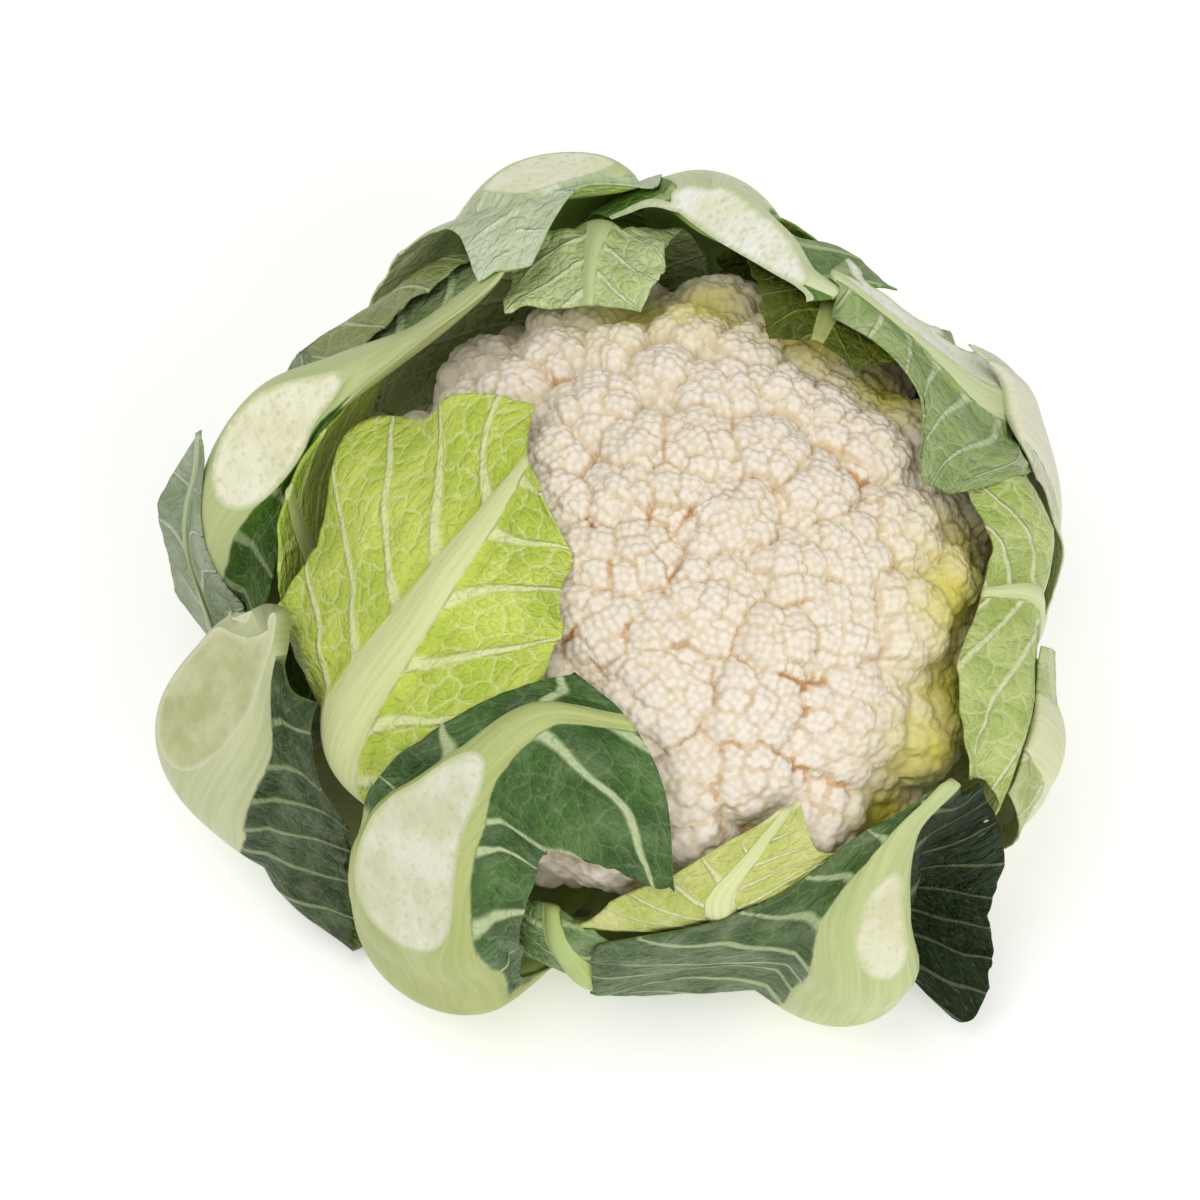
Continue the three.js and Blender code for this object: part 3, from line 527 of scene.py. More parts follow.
def lattice_noise(p, seed=0):
    """Smooth value noise between -1 and 1 at points (..., 3), one lattice cell to a unit."""
    base = np.floor(p).astype(np.int64)
    f = p - base
    f = f * f * (3 - 2 * f)
    total = np.zeros(p.shape[:-1])
    for dx in (0, 1):
        for dy in (0, 1):
            for dz in (0, 1):
                x, y, z = base[..., 0] + dx, base[..., 1] + dy, base[..., 2] + dz
                h = (x * 73856093 ^ y * 19349663 ^ z * 83492791 ^ (seed + 1) * 26544357) & 0xFFFFFFFF
                h = ((h ^ (h >> 13)) * 1274126177) & 0xFFFFFFFF
                value = ((h ^ (h >> 16)) & 0xFFFF) / 32767.5 - 1
                wx = f[..., 0] if dx else 1 - f[..., 0]
                wy = f[..., 1] if dy else 1 - f[..., 1]
                wz = f[..., 2] if dz else 1 - f[..., 2]
                total += value * wx * wy * wz
    return total


def noise_at(a, b, c, seed, finer=1.0):
    """The noise at points given as their three coordinates, any of which may be one number."""
    return lattice_noise(np.stack(np.broadcast_arrays(a, b, c), axis=-1) * finer, seed)


def spline(points, places):
    """Centripetal Catmull-Rom: points (..., n, k) at places (m), counted in points: (..., m, k)."""
    n = points.shape[-2]
    before = 2 * points[..., :1, :] - points[..., 1:2, :]
    after = 2 * points[..., -1:, :] - points[..., -2:-1, :]
    padded = np.concatenate([before, points, after], axis=-2)
    i = np.clip(np.floor(places), 0, n - 2).astype(int)
    p = [padded[..., i + k, :] for k in range(4)]
    knot = [np.zeros(p[0].shape[:-1] + (1,))]
    for k in range(3):
        chord = np.linalg.norm(p[k + 1] - p[k], axis=-1, keepdims=True)
        knot.append(knot[-1] + np.sqrt(np.maximum(1e-6, chord)))
    t = knot[1] + (places - i)[:, None] * (knot[2] - knot[1])

    def between(a, b, start, end):
        return a + (b - a) * (t - start) / (end - start)

    first = [between(p[k], p[k + 1], knot[k], knot[k + 1]) for k in range(3)]
    second = [between(first[k], first[k + 1], knot[k], knot[k + 2]) for k in range(2)]
    return between(second[0], second[1], knot[1], knot[2])


def icosphere(frequency):
    """Directions and triangles of an icosahedron with each face split frequency times a side."""
    t = (1 + math.sqrt(5)) / 2
    corners = np.array([
        (-1, t, 0), (1, t, 0), (-1, -t, 0), (1, -t, 0), (0, -1, t), (0, 1, t),
        (0, -1, -t), (0, 1, -t), (t, 0, -1), (t, 0, 1), (-t, 0, -1), (-t, 0, 1),
    ])
    sides = [
        (0, 11, 5), (0, 5, 1), (0, 1, 7), (0, 7, 10), (0, 10, 11), (1, 5, 9), (5, 11, 4),
        (11, 10, 2), (10, 7, 6), (7, 1, 8), (3, 9, 4), (3, 4, 2), (3, 2, 6), (3, 6, 8),
        (3, 8, 9), (4, 9, 5), (2, 4, 11), (6, 2, 10), (8, 6, 7), (9, 8, 1),
    ]
    steps = [(a, b) for a in range(frequency + 1) for b in range(frequency + 1 - a)]
    place = {step: k for k, step in enumerate(steps)}
    share = np.array([(frequency - a - b, a, b) for a, b in steps]) / frequency
    small = []
    for a in range(frequency):
        for b in range(frequency - a):
            small.append((place[a, b], place[a + 1, b], place[a, b + 1]))
            if a + b < frequency - 1:
                small.append((place[a + 1, b], place[a + 1, b + 1], place[a, b + 1]))
    small = np.array(small)
    points = np.concatenate([share @ corners[list(side)] for side in sides])
    triangles = np.concatenate([small + k * len(steps) for k in range(len(sides))])
    keys = np.round(points * 1e5).astype(np.int64)
    _, first, where = np.unique(keys, axis=0, return_index=True, return_inverse=True)
    return unit(points[first]), where.reshape(-1)[triangles]


# Curd

def outline_point(q):
    return q * head_reach(q)[..., None]


def outline_normal(p):
    vertical = np.where(p[..., 2] > 0, ABOVE, BELOW)
    return unit(np.stack([
        p[..., 0] / HALF_WIDTH**2, p[..., 1] / HALF_DEPTH**2, p[..., 2] / vertical**2
    ], axis=-1))


def towards(azimuth, tilt):
    """The point on the head's outline at an azimuth and a tilt from the crown, in degrees."""
    a, t = math.radians(azimuth), math.radians(tilt)
    q = np.array([math.sin(t) * math.cos(a), math.sin(t) * math.sin(a), math.cos(t)])
    return outline_point(q)


def beside(p, distance, turn):
    """A point on the outline some way from another, in a direction counted from level."""
    level = np.array([-p[1], p[0], 0.0])
    if level @ level < 1e-6:
        level = np.array([1.0, 0.0, 0.0])
    level = unit(level)
    up = np.cross(outline_normal(p), level)
    place = p + distance * (math.cos(turn) * level + math.sin(turn) * up)
    return outline_point(unit(place))


def buds_on(centre, radius, turn, draw):
    buds = [(centre, radius * BUD_DOME)]
    for k in range(BUDS_IN_RING):
        distance = radius * RING_AT * (0.85 + 0.3 * next(draw))
        place = beside(centre, distance, turn + 2 * math.pi * (k + 0.4 * next(draw)) / BUDS_IN_RING)
        buds.append((place, radius * BUD_DOME * (0.85 + 0.25 * next(draw))))
    return buds


def florets():
    """Each floret as its centre, radius, rise and buds."""
    draw = seeded_random(FLORET_SEED)
    placed = [(towards(a, t), r) for a, t, r in SHOWN_FLORETS]
    for i in range(SPIRAL_COUNT):
        tilt = SPIRAL_STEP * math.sqrt(i + 0.5)
        centre = towards(math.degrees(i * GOLDEN_ANGLE), math.degrees(tilt))
        if all(np.linalg.norm(other - centre) > SPIRAL_ROOM for other, _ in placed):
            placed.append((centre, SPIRAL_RADIUS))
    full = []
    for i, (centre, radius) in enumerate(placed):
        rise = RISE * (2 * next(draw) - 1)
        full.append((centre, radius, rise, buds_on(centre, radius, i * GOLDEN_ANGLE, draw)))
    return full


def dome_drop(distance, radius):
    offset = distance / radius
    return radius * (1 - np.sqrt(np.clip(1 - offset * offset, 0, None)))


def curd_relief(p, all_florets):
    """How far the curd lies under its smooth outline, and the floret that each point is on."""
    centres = np.array([f[0] for f in all_florets])
    radii = np.array([f[1] for f in all_florets]) * DOME_PER_RADIUS
    rises = np.array([f[2] for f in all_florets])
    away = np.sqrt(np.maximum(0, (p**2).sum(1)[:, None] + (centres**2).sum(1) - 2 * p @ centres.T))
    drops = dome_drop(away, radii) - rises
    best = drops.argmin(axis=1)
    bud_places = np.array([[c for c, _ in f[3]] for f in all_florets])[best]
    bud_radii = np.array([[r for _, r in f[3]] for f in all_florets])[best]
    bud_drops = dome_drop(np.linalg.norm(p[:, None, :] - bud_places, axis=-1), bud_radii)
    relief = np.minimum(drops.min(axis=1), DEEPEST) + np.minimum(bud_drops.min(axis=1), DEEPEST_BUD)
    return relief, best


def sunk(q, outline, relief):
    """Points in mm under the outline by a relief that fades out below, down to the stalk's top."""
    relief = relief * smooth((q[:, 2] + FADE_FROM) / FADE_OVER)
    points = outline - outline_normal(outline) * relief[:, None] + CENTRE
    points[:, 2] = np.maximum(points[:, 2], STALK_HEIGHT + CLEARANCE)
    return points


def seeds_apart(spacing, seed):
    """Points on the head's outline about a spacing apart, in a loosened spiral."""
    count = int(OUTLINE_AREA / (HEXAGON * spacing**2))
    k = np.arange(count)
    z = 1 - (2 * k + 1) / count
    ring = np.sqrt(1 - z * z)
    spread = np.stack([ring * np.cos(k * GOLDEN_ANGLE), ring * np.sin(k * GOLDEN_ANGLE), z], 1)
    places = spread * np.array([HALF_WIDTH, HALF_DEPTH, ABOVE])
    loose = np.random.default_rng(seed).uniform(-1, 1, places.shape)
    return places + loose * spacing * LOOSENESS


def nearest_of(places, seeds):
    """The nearest seed to each place, and how far away it is."""
    tree = kdtree.KDTree(len(seeds))
    for k, p in enumerate(seeds):
        tree.insert(p, k)
    tree.balance()
    found = [tree.find(p) for p in places]
    return np.array([hit[1] for hit in found]), np.array([hit[2] for hit in found])


def from_borders(places, triangles, owner):
    """How far each point lies from the border between one owner's ground and the next."""
    owners = owner[triangles]
    mixed = triangles[(owners != owners[:, :1]).any(axis=1)]
    return nearest_of(places, places[np.unique(mixed)])[1]


def curd_surface():
    """The curd's points in mm, its triangles, their florets and the values its material reads."""
    q, triangles = icosphere(CURD_FREQUENCY)
    q = unit(q + np.array([0.0, 0.0, CURD_LEAN]))
    outline = outline_point(q)
    beads = seeds_apart(BEAD_SPACING, BEAD_SEED)
    lumps = seeds_apart(LUMP_SPACING, LUMP_SEED)
    bead, off_bead = nearest_of(outline, beads)
    by_bead = outline + (beads[bead] - outline) * BEAD_PULL
    lump, off_lump = nearest_of(by_bead, lumps)
    by_lump = outline + (lumps[lump] - outline) * LUMP_PULL
    relief, floret = curd_relief(by_lump, florets())
    crease = from_borders(outline, triangles, floret)
    lump_crease = from_borders(outline, triangles, lump)
    relief += LUMP_SHARE * dome_drop(np.minimum(off_lump, LUMP_REACH * LUMP_RADIUS), LUMP_RADIUS)
    relief += BEAD_SHARE * dome_drop(np.minimum(off_bead, BEAD_REACH * BEAD_RADIUS), BEAD_RADIUS)
    grooves = GROOVE * np.exp(-((crease / GROOVE_WIDTH) ** 2))
    grooves += LUMP_GROOVE * np.exp(-((lump_crease / LUMP_GROOVE_WIDTH) ** 2))
    relief += grooves
    points = sunk(q, outline, relief)
    values = {
        "crease": crease,
        "lump_crease": lump_crease,
        "bead": off_bead / BEAD_SPACING,
    }
    for key, spots in (("browned", BROWNED), ("yellowed", YELLOWED)):
        values[key] = np.zeros(len(q))
        for azimuth, tilt, size in spots:
            away = np.linalg.norm(outline - towards(azimuth, tilt), axis=1) / size
            values[key] = np.maximum(values[key], np.exp(-away * away))
    return points, triangles, floret, values


# Leaves

def as_place(p):
    distance = np.linalg.norm(p)
    return np.array([*p, distance - head_reach(p / distance)])


def flank(leaf, index, sideways):
    """Where a leaf is its bare rib, its side curves follow the rib's flanks."""
    rib = leaf["rib"]
    tangent = from_polar(rib[min(len(rib) - 1, index + 1)]) - from_polar(rib[max(0, index - 1)])
    place = from_polar(rib[index]) - CENTRE
    return place + unit(np.cross(tangent, place)) * sideways * (leaf["width"][index] / 2 + 1)


def leaf_curves(leaf):
    def curve(stations, sideways):
        return [
            as_place(from_polar(station) - CENTRE if station else flank(leaf, i, sideways))
            for i, station in enumerate(stations)
        ]

    def side(name, sign):
        given = [[None] * ROOT_STATIONS + stations for stations in leaf[name]]
        return [curve(stations, sign * (1 + k * FLANK_STEP)) for k, stations in enumerate(given)]

    return np.array([*reversed(side("left", -1)), curve(leaf["rib"], 0), *side("right", 1)])


def crossings(leaf, places, finest):
    """Samples across the leaf at places along it, with their distances from the rib's middle."""
    curves = leaf_curves(leaf)
    through = np.swapaxes(spline(curves, places), 0, 1)
    count = (len(curves) - 1) * finest + 1
    across = spline(through, np.arange(count) / finest)
    q = unit(across[..., :3])
    points = q * (head_reach(q) + across[..., 3])[..., None]
    steps = np.linalg.norm(np.diff(points, axis=1), axis=-1)
    w = np.concatenate([np.zeros((len(places), 1)), np.cumsum(steps, axis=1)], axis=1)
    middle = len(leaf["left"]) * finest
    return points, w - w[:, middle : middle + 1]


def point_across(points, w, wanted):
    k = np.clip(np.searchsorted(w, wanted), 1, len(w) - 1)
    share = (wanted - w[k - 1]) / (w[k] - w[k - 1])
    return points[k - 1] + (points[k] - points[k - 1]) * share[:, None]


def coarse_places(leaf):
    places = [0.0]
    for i in range(1, len(leaf["rib"])):
        length = np.linalg.norm(from_polar(leaf["rib"][i]) - from_polar(leaf["rib"][i - 1]))
        count = max(1, math.floor(length / ROW_SPACING + 0.5))
        places += [i - 1 + k / count for k in range(1, count + 1)]
    return np.array(places)


def fine_places(leaf):
    """Places along the rib, evenly spaced in mm."""
    last = len(leaf["rib"]) - 1
    s = np.linspace(0, last, last * 40 + 1)
    rib = np.array([as_place(from_polar(station) - CENTRE) for station in leaf["rib"]])
    steps = np.linalg.norm(np.diff(spline(rib, s)[:, :3], axis=0), axis=1)
    length = np.concatenate([[0], np.cumsum(steps)])
    count = int(length[-1] / FINE_SPACING) + 1
    even = np.linspace(0, length[-1], count)
    return np.interp(even, length, s), even


def coarse_columns(w):
    """Columns across: 1 is the rib's flank and 2 the blade's edge, negative to the left."""
    columns = [k / RIB_STEPS for k in range(RIB_STEPS + 1)]
    sides = []
    for widest in (np.abs(w[:, 0]).max(), np.abs(w[:, -1]).max()):
        steps = min(MOST_BLADE_STEPS, max(1, math.floor(widest / BLADE_STEP + 0.5)))
        sides.append(columns + [1 + (k + 1) / steps for k in range(steps)])
    return np.array([-c for c in reversed(sides[0][1:])] + sides[1])


def fine_columns(leaf, w):
    rib = np.linspace(0, 1, 2 + int(max(leaf["width"]) / 2 / FINE_SPACING))
    sides = []
    for widest in (np.abs(w[:, 0]).max(), np.abs(w[:, -1]).max()):
        steps = max(3, int(widest / FINE_SPACING))
        sides.append(np.concatenate([rib, np.linspace(1, 2, steps + 1)[1:]]))
    return np.concatenate([-sides[0][:0:-1], sides[1]])


def leaf_grid(leaf, places, points, w_samples, columns, ragged=None):
    """The leaf's middle surface about the head's centre, on rows along the rib."""
    last = len(leaf["rib"]) - 1
    rib_half = spline(np.array(leaf["width"], float)[:, None], places)[:, :1] / 2
    depth = spline(np.array(leaf["depth"], float)[:, None], places)[:, :1]
    edges = np.abs(np.stack([w_samples[:, 0], w_samples[:, -1]], axis=1))
    edges = np.maximum(edges, rib_half + 0.5)
    reach = np.where(columns < 0, edges[:, :1], edges[:, 1:])
    if ragged is not None:
        reach = rib_half + (reach - rib_half) * (1 + ragged)
    outward = np.clip(np.abs(columns) - 1, 0, 1)[None, :]
    inside = rib_half * np.abs(columns)
    w = np.where(outward > 0, rib_half + (reach - rib_half) * outward, inside)
    signed = w * np.sign(columns)
    middle = np.stack([point_across(*row) for row in zip(points, w_samples, signed)])
    size, waves, start = leaf["ruffle"]
    turn = waves * (places[:, None] / last) + start
    turn = turn + np.where(columns < 0, 0.4, 0)
    wave = size * outward**2 * smooth((places[:, None] - 1) / 1.5)
    wave = wave * np.sin(2 * np.pi * turn)
    middle = middle + unit(middle) * wave[..., None]
    return {
        "middle": middle,
        "w": signed,
        "rib_half": rib_half + 0 * w,
        "rib_depth": depth + 0 * w,
        "reach": reach + 0 * w,
        "outward": outward + 0 * w,
    }


def grid_normals(middle):
    rows, columns = middle.shape[:2]
    i = np.arange(rows)
    j = np.arange(columns)
    up = middle[np.minimum(i + 1, rows - 1)] - middle[np.maximum(i - 1, 0)]
    over = middle[:, np.minimum(j + 1, columns - 1)] - middle[:, np.maximum(j - 1, 0)]
    return unit(np.cross(over, up) + 1e-12)


def shell_quads(rows, columns):
    """Quads of a closed shell over two grids, the outer one first."""
    grid = np.arange(rows * columns).reshape(rows, columns)
    inner = grid + rows * columns

    def quads(a, b, c, d):
        return np.stack([a, b, c, d], axis=-1).reshape(-1, 4)

    return np.concatenate([
        quads(grid[:-1, :-1], grid[:-1, 1:], grid[1:, 1:], grid[1:, :-1]),
        quads(inner[:-1, :-1], inner[1:, :-1], inner[1:, 1:], inner[:-1, 1:]),
        quads(grid[:-1, 0], grid[1:, 0], inner[1:, 0], inner[:-1, 0]),
        quads(grid[1:, -1], grid[:-1, -1], inner[:-1, -1], inner[1:, -1]),
        quads(grid[0, 1:], grid[0, :-1], inner[0, :-1], inner[0, 1:]),
        quads(grid[-1, :-1], grid[-1, 1:], inner[-1, 1:], inner[-1, :-1]),
    ])


def tree_of(points, polygons):
    return BVHTree.FromPolygons(points.tolist(), polygons.tolist())


def tops(directions, trees):
    """Distance from the head's centre to the farthest surface in each direction, or 0."""
    found = np.zeros(len(directions))
    for k, d in enumerate(directions):
        start = Vector(d * FAR)
        back = Vector(-d)
        for tree in trees:
            distance = tree.ray_cast(start, back, FAR)[3]
            if distance is not None and FAR - distance > found[k]:
                found[k] = FAR - distance
    return found


def neighbours(grid, beyond):
    """The mean of each place's four neighbours on a grid."""
    padded = np.pad(grid, 1, mode=beyond)
    return (padded[:-2, 1:-1] + padded[2:, 1:-1] + padded[1:-1, :-2] + padded[1:-1, 2:]) / 4


def spread_lift(lift, passes):
    """Eases a lift out over its neighbourhood on the grid."""
    for _ in range(passes):
        lift = np.maximum(lift, neighbours(lift, "constant"))
    return lift


def blur(lift, passes):
    for _ in range(passes):
        lift = (lift + neighbours(lift, "edge")) / 2
    return lift


def drape_lift(middle, depth, trees, gap):
    away = unit(middle).reshape(-1, 3)
    distance = np.linalg.norm(middle, axis=-1)
    top = tops(away, trees).reshape(distance.shape)
    return np.maximum(0, top + gap + depth * (1 - OUTER_SHARE) - distance) * (top > 0)


def raised(middle, lift):
    return middle + unit(middle) * lift[..., None]


def lay_solid(leaf, trees):
    """Lays a leaf's solid over the ones inside it: its places along, its columns and its lift."""
    places = coarse_places(leaf)
    points, w = crossings(leaf, places, COARSE_SAMPLES)
    columns = coarse_columns(w)
    grid = leaf_grid(leaf, places, points, w, columns)
    across = np.clip(np.abs(grid["w"]) / grid["rib_half"], 0, 1)
    depth = np.maximum(BLADE_THICKNESS, grid["rib_depth"] * np.sqrt(1 - across**2))
    lift = spread_lift(drape_lift(grid["middle"], depth, trees, DRAPE_GAP), COARSE_SPREAD)
    laid = raised(grid["middle"], lift)
    offset = grid_normals(laid) * depth[..., None]
    shell = np.concatenate([
        (laid + offset * OUTER_SHARE).reshape(-1, 3),
        (laid - offset * (1 - OUTER_SHARE)).reshape(-1, 3),
    ])
    trees.append(tree_of(shell, shell_quads(*laid.shape[:2])))
    return places, columns, lift


def fine_grid(leaf, look, order):
    """The leaf's fine grid with torn edges, and its places along the rib."""
    places, length = fine_places(leaf)
    points, w = crossings(leaf, places, FINE_SAMPLES)
    columns = fine_columns(leaf, w)
    torn = (length / TEAR_SIZE, order * 9.1, 0)
    notch = noise_at(*torn, 1) + 0.6 * noise_at(*torn, 2, 2.6)
    ragged = look["ragged"] * (notch[:, None] + 0.4 * np.sign(columns)[None, :])
    grid = leaf_grid(leaf, places, points, w, columns, ragged * TEAR_DEPTH)
    grid["columns"] = columns
    grid["run"] = length[:, None] + 0 * grid["w"]
    grid["blade"] = smooth((grid["reach"] - grid["rib_half"] - 2) / 12)
    return grid, places


def leaf_depth(grid):
    """A rib stands proud with steep flanks where it is bare, and eases into the blade elsewhere."""
    share = np.clip(np.abs(grid["w"]) / (grid["rib_half"] * (1 + 0.25 * grid["blade"])), 0, 1)
    swell = (1 - share**2) ** (0.5 + 0.45 * grid["blade"])
    thin = BLADE_AT_RIB - BLADE_THINS * grid["outward"] ** 2
    return np.maximum(thin, grid["rib_depth"] * swell)


def lateral_veins(look, order, grid):
    """Veins leave the rib every so often and bend towards the tip: phase, half width and relief."""
    run, outward = grid["run"], grid["outward"]
    side = np.where(grid["columns"] < 0, 0.0, 0.47)[None, :] + order * 0.31
    spacing = look["vein_spacing"]
    beyond = np.maximum(0, np.abs(grid["w"]) - grid["rib_half"] * 0.6)
    slope = VEIN_LEAN - VEIN_BEND * np.minimum(beyond, 60)
    phase = (run - beyond * slope) / spacing + 0.35 * noise_at(run / 26, side * 7, 0, 4) + side
    phase = phase + 0.13 * noise_at(run / 16, grid["w"] / 12, order, 6)
    half = look["vein_width"] * (1.25 - 0.95 * outward**0.7) * grid["blade"]
    off = np.abs((phase - 0.5) % 1 - 0.5) * spacing * 0.8
    relief = np.exp(-((off / (half + 0.7)) ** 2)) * smooth(outward * 6) * grid["blade"]
    return phase, half, relief


def blade_bulge(look, order, grid, relief):
    """The blade puckers between its veins and flutters more towards its edge."""
    run, outward, blade = grid["run"], grid["outward"], grid["blade"]
    free = smooth(outward * 3) * blade
    puckered = (run / PUCKER_SIZE, grid["w"] / PUCKER_SIZE, order * 3)
    pucker = noise_at(*puckered, 7) + 0.45 * noise_at(*puckered, 8, 2.1)
    flutter = noise_at(run / FLUTTER_SIZE, np.sign(grid["columns"]) * 5, order, 9) * outward**3
    return look["crinkle"] * free * (0.75 * pucker - 0.5 * relief) + look["flutter"] * flutter * blade


def leaf_surface(leaf, look, order, coarse_trees, fine_trees):
    """A leaf's fine shell in mm, draped like its solid, with the values its materials read."""
    solid_places, solid_columns, solid_lift = lay_solid(leaf, coarse_trees)
    grid, places = fine_grid(leaf, look, order)
    by_row = np.stack([np.interp(places, solid_places, lift) for lift in solid_lift.T], axis=1)
    lift = np.stack([np.interp(grid["columns"], solid_columns, row) for row in by_row])
    lift = blur(lift, LIFT_BLUR)
    depth = leaf_depth(grid)
    phase, vein_half, relief = lateral_veins(look, order, grid)
    bulge = np.maximum(blade_bulge(look, order, grid, relief), -lift - 0.4)
    middle = raised(raised(grid["middle"], lift), bulge)
    push = drape_lift(middle, depth, fine_trees, FINE_GAP)
    middle = raised(middle, blur(spread_lift(push, FINE_SPREAD), PUSH_BLUR))
    normal = grid_normals(middle)
    outer = middle + normal * (depth * OUTER_SHARE + look["vein_relief"] * relief)[..., None]
    inner = middle - normal * (depth * (1 - OUTER_SHARE) - 0.15 * relief)[..., None]
    quads = shell_quads(*middle.shape[:2])
    shell = np.concatenate([outer.reshape(-1, 3), inner.reshape(-1, 3)])
    fine_trees.append(tree_of(shell, quads))

    run, w, rib_half = grid["run"], grid["w"], grid["rib_half"]
    rib_mask = 1 - smooth((np.abs(w) - rib_half * look["rib_edge"]) / (0.12 * rib_half + 0.6))
    bare = 1 - smooth((grid["reach"] - rib_half - 1) / 4)
    values = {
        "rib": np.maximum(rib_mask, bare),
        "outward": grid["outward"],
        "along": run / run.max(),
        "phase": phase,
        "vein_half": vein_half,
    }
    values = {name: np.tile(value.reshape(-1), 2) for name, value in values.items()}
    values["inner"] = np.repeat([0.0, 1.0], run.size)
    flat = np.stack([run + order * LEAF_SHIFT, w, 0 * run], axis=-1).reshape(-1, 3)
    values["flat"] = np.tile(flat, (2, 1))
    return shell + CENTRE, quads, values


def mesh_from(name, points_mm, polygons, values):
    mesh = bpy.data.meshes.new(name)
    mesh.from_pydata((points_mm * MM).tolist(), [], polygons.tolist())
    for key, value in values.items():
        vector = value.ndim == 2
        attribute = mesh.attributes.new(key, "FLOAT_VECTOR" if vector else "FLOAT", "POINT")
        attribute.data.foreach_set("vector" if vector else "value", value.astype(np.float32).ravel())
    mesh.shade_smooth()
    return mesh


def within(points, edges):
    """Which 2-D points lie inside closed loops given as edges (start, end)."""
    (ax, ay), (bx, by) = edges[:, 0].T, edges[:, 1].T
    px, py = points[:, :1], points[:, 1:]
    crosses = (ay > py) != (by > py)
    level = np.where(by == ay, 1e-12, by - ay)
    left = px < ax + (bx - ax) * (py - ay) / level
    return (crosses & left).sum(axis=1) % 2 == 1


def cap_cut(bm, normal, origin):
    """Closes a knife's cut with a fine, slightly pitted face of cut flesh."""
    rim_edges = [e for e in bm.edges if e.is_boundary]
    rim = list({v for e in rim_edges for v in e.verts})
    place = {v: k for k, v in enumerate(rim)}
    u = normal.orthogonal().normalized()
    v = normal.cross(u)
    flat = np.array([((p.co - origin).dot(u), (p.co - origin).dot(v)) for p in rim]) / MM
    edges = np.array([(place[e.verts[0]], place[e.verts[1]]) for e in rim_edges])
    lines = flat[edges]
    low, high = flat.min(axis=0), flat.max(axis=0)
    xs = np.arange(low[0], high[0], CUT_SPACING)
    ys = np.arange(low[1], high[1], CUT_SPACING * HEXAGON)
    mesh_points = np.array([(x + CUT_SPACING / 2 * (k % 2), y) for k, y in enumerate(ys) for x in xs])
    mesh_points = mesh_points[within(mesh_points, lines)]
    clear = np.array([np.linalg.norm(flat - p, axis=1).min() for p in mesh_points])
    roomy = clear > 0.5 * CUT_SPACING
    mesh_points, clear = mesh_points[roomy], clear[roomy]
    everything = np.concatenate([flat, mesh_points])
    found = delaunay_2d_cdt([Vector(p) for p in everything], edges.tolist(), [], 1, 1e-6)
    centres = np.array([np.mean([found[0][k] for k in face], axis=0) for face in found[2]])
    layer = bm.verts.layers.float["flesh"]
    made = {}
    pitting = pits(mesh_points)
    for k, where in enumerate(found[3]):
        if where and where[0] < len(rim):
            made[k] = rim[where[0]]
        else:
            x, y = found[0][k]
            nearest = where[0] - len(rim) if where else None
            depth = pitting[nearest] * smooth(clear[nearest] / 3) if where else 0
            made[k] = bm.verts.new(origin + (u * x + v * y - normal * float(depth)) * MM)
            made[k][layer] = min(1, clear[nearest] / 4) if where else 0.5
    for face, inside in zip(found[2], within(centres, lines)):
        corners = [made[k] for k in face]
        if inside and len(set(corners)) == 3:
            a, b, c = (p.co for p in corners)
            if (b - a).cross(c - a).dot(normal) < 0:
                corners.reverse()
            cut = bm.faces.new(corners)
            cut.material_index = 1
            cut.smooth = True
    for e in rim_edges:
        e.smooth = False


def pits(points):
    """Depth in mm of the small pits and knife ridges over a cut face."""
    p = np.concatenate([points, np.zeros((len(points), 1))], axis=1)
    ridges = RIDGE_HEIGHT * np.sin(points[:, 0] * 0.55 + 2.0 * lattice_noise(p / 14, 12))
    return PIT_DEPTH * np.maximum(0, lattice_noise(p / PIT_SIZE, 11)) + ridges


def largest_island(bm):
    left = set(bm.verts)
    best = set()
    while left:
        start = left.pop()
        island = {start}
        queue = [start]
        while queue:
            for e in queue.pop().link_edges:
                for v in e.verts:
                    if v in left:
                        left.discard(v)
                        island.add(v)
                        queue.append(v)
        if len(island) > len(best):
            best = island
    bmesh.ops.delete(bm, geom=[v for v in bm.verts if v not in best], context="VERTS")


def shave(mesh, knife):
    """Cuts a leaf's mesh with a knife's plane and closes the cut."""
    through, azimuth, elevation = knife
    a, e = math.radians(azimuth), math.radians(elevation)
    normal = Vector((math.cos(a) * math.cos(e), math.sin(a) * math.cos(e), math.sin(e)))
    origin = Vector(from_polar(through)) * MM
    bm = bmesh.new()
    bm.from_mesh(mesh)
    everything = [*bm.verts, *bm.edges, *bm.faces]
    bmesh.ops.bisect_plane(
        bm, geom=everything, dist=1e-7, plane_co=origin, plane_no=normal, clear_outer=True
    )
    largest_island(bm)
    cap_cut(bm, normal, origin)
    bm.to_mesh(mesh)
    bm.free()


# Materials

def linear(code):
    """A colour like #c0ffee in linear light."""
    parts = [int(code[k : k + 2], 16) / 255 for k in (1, 3, 5)]
    return (*[p / 12.92 if p <= 0.04045 else ((p + 0.055) / 1.055) ** 2.4 for p in parts], 1.0)


def shades(codes):
    return [linear(code) for code in codes]


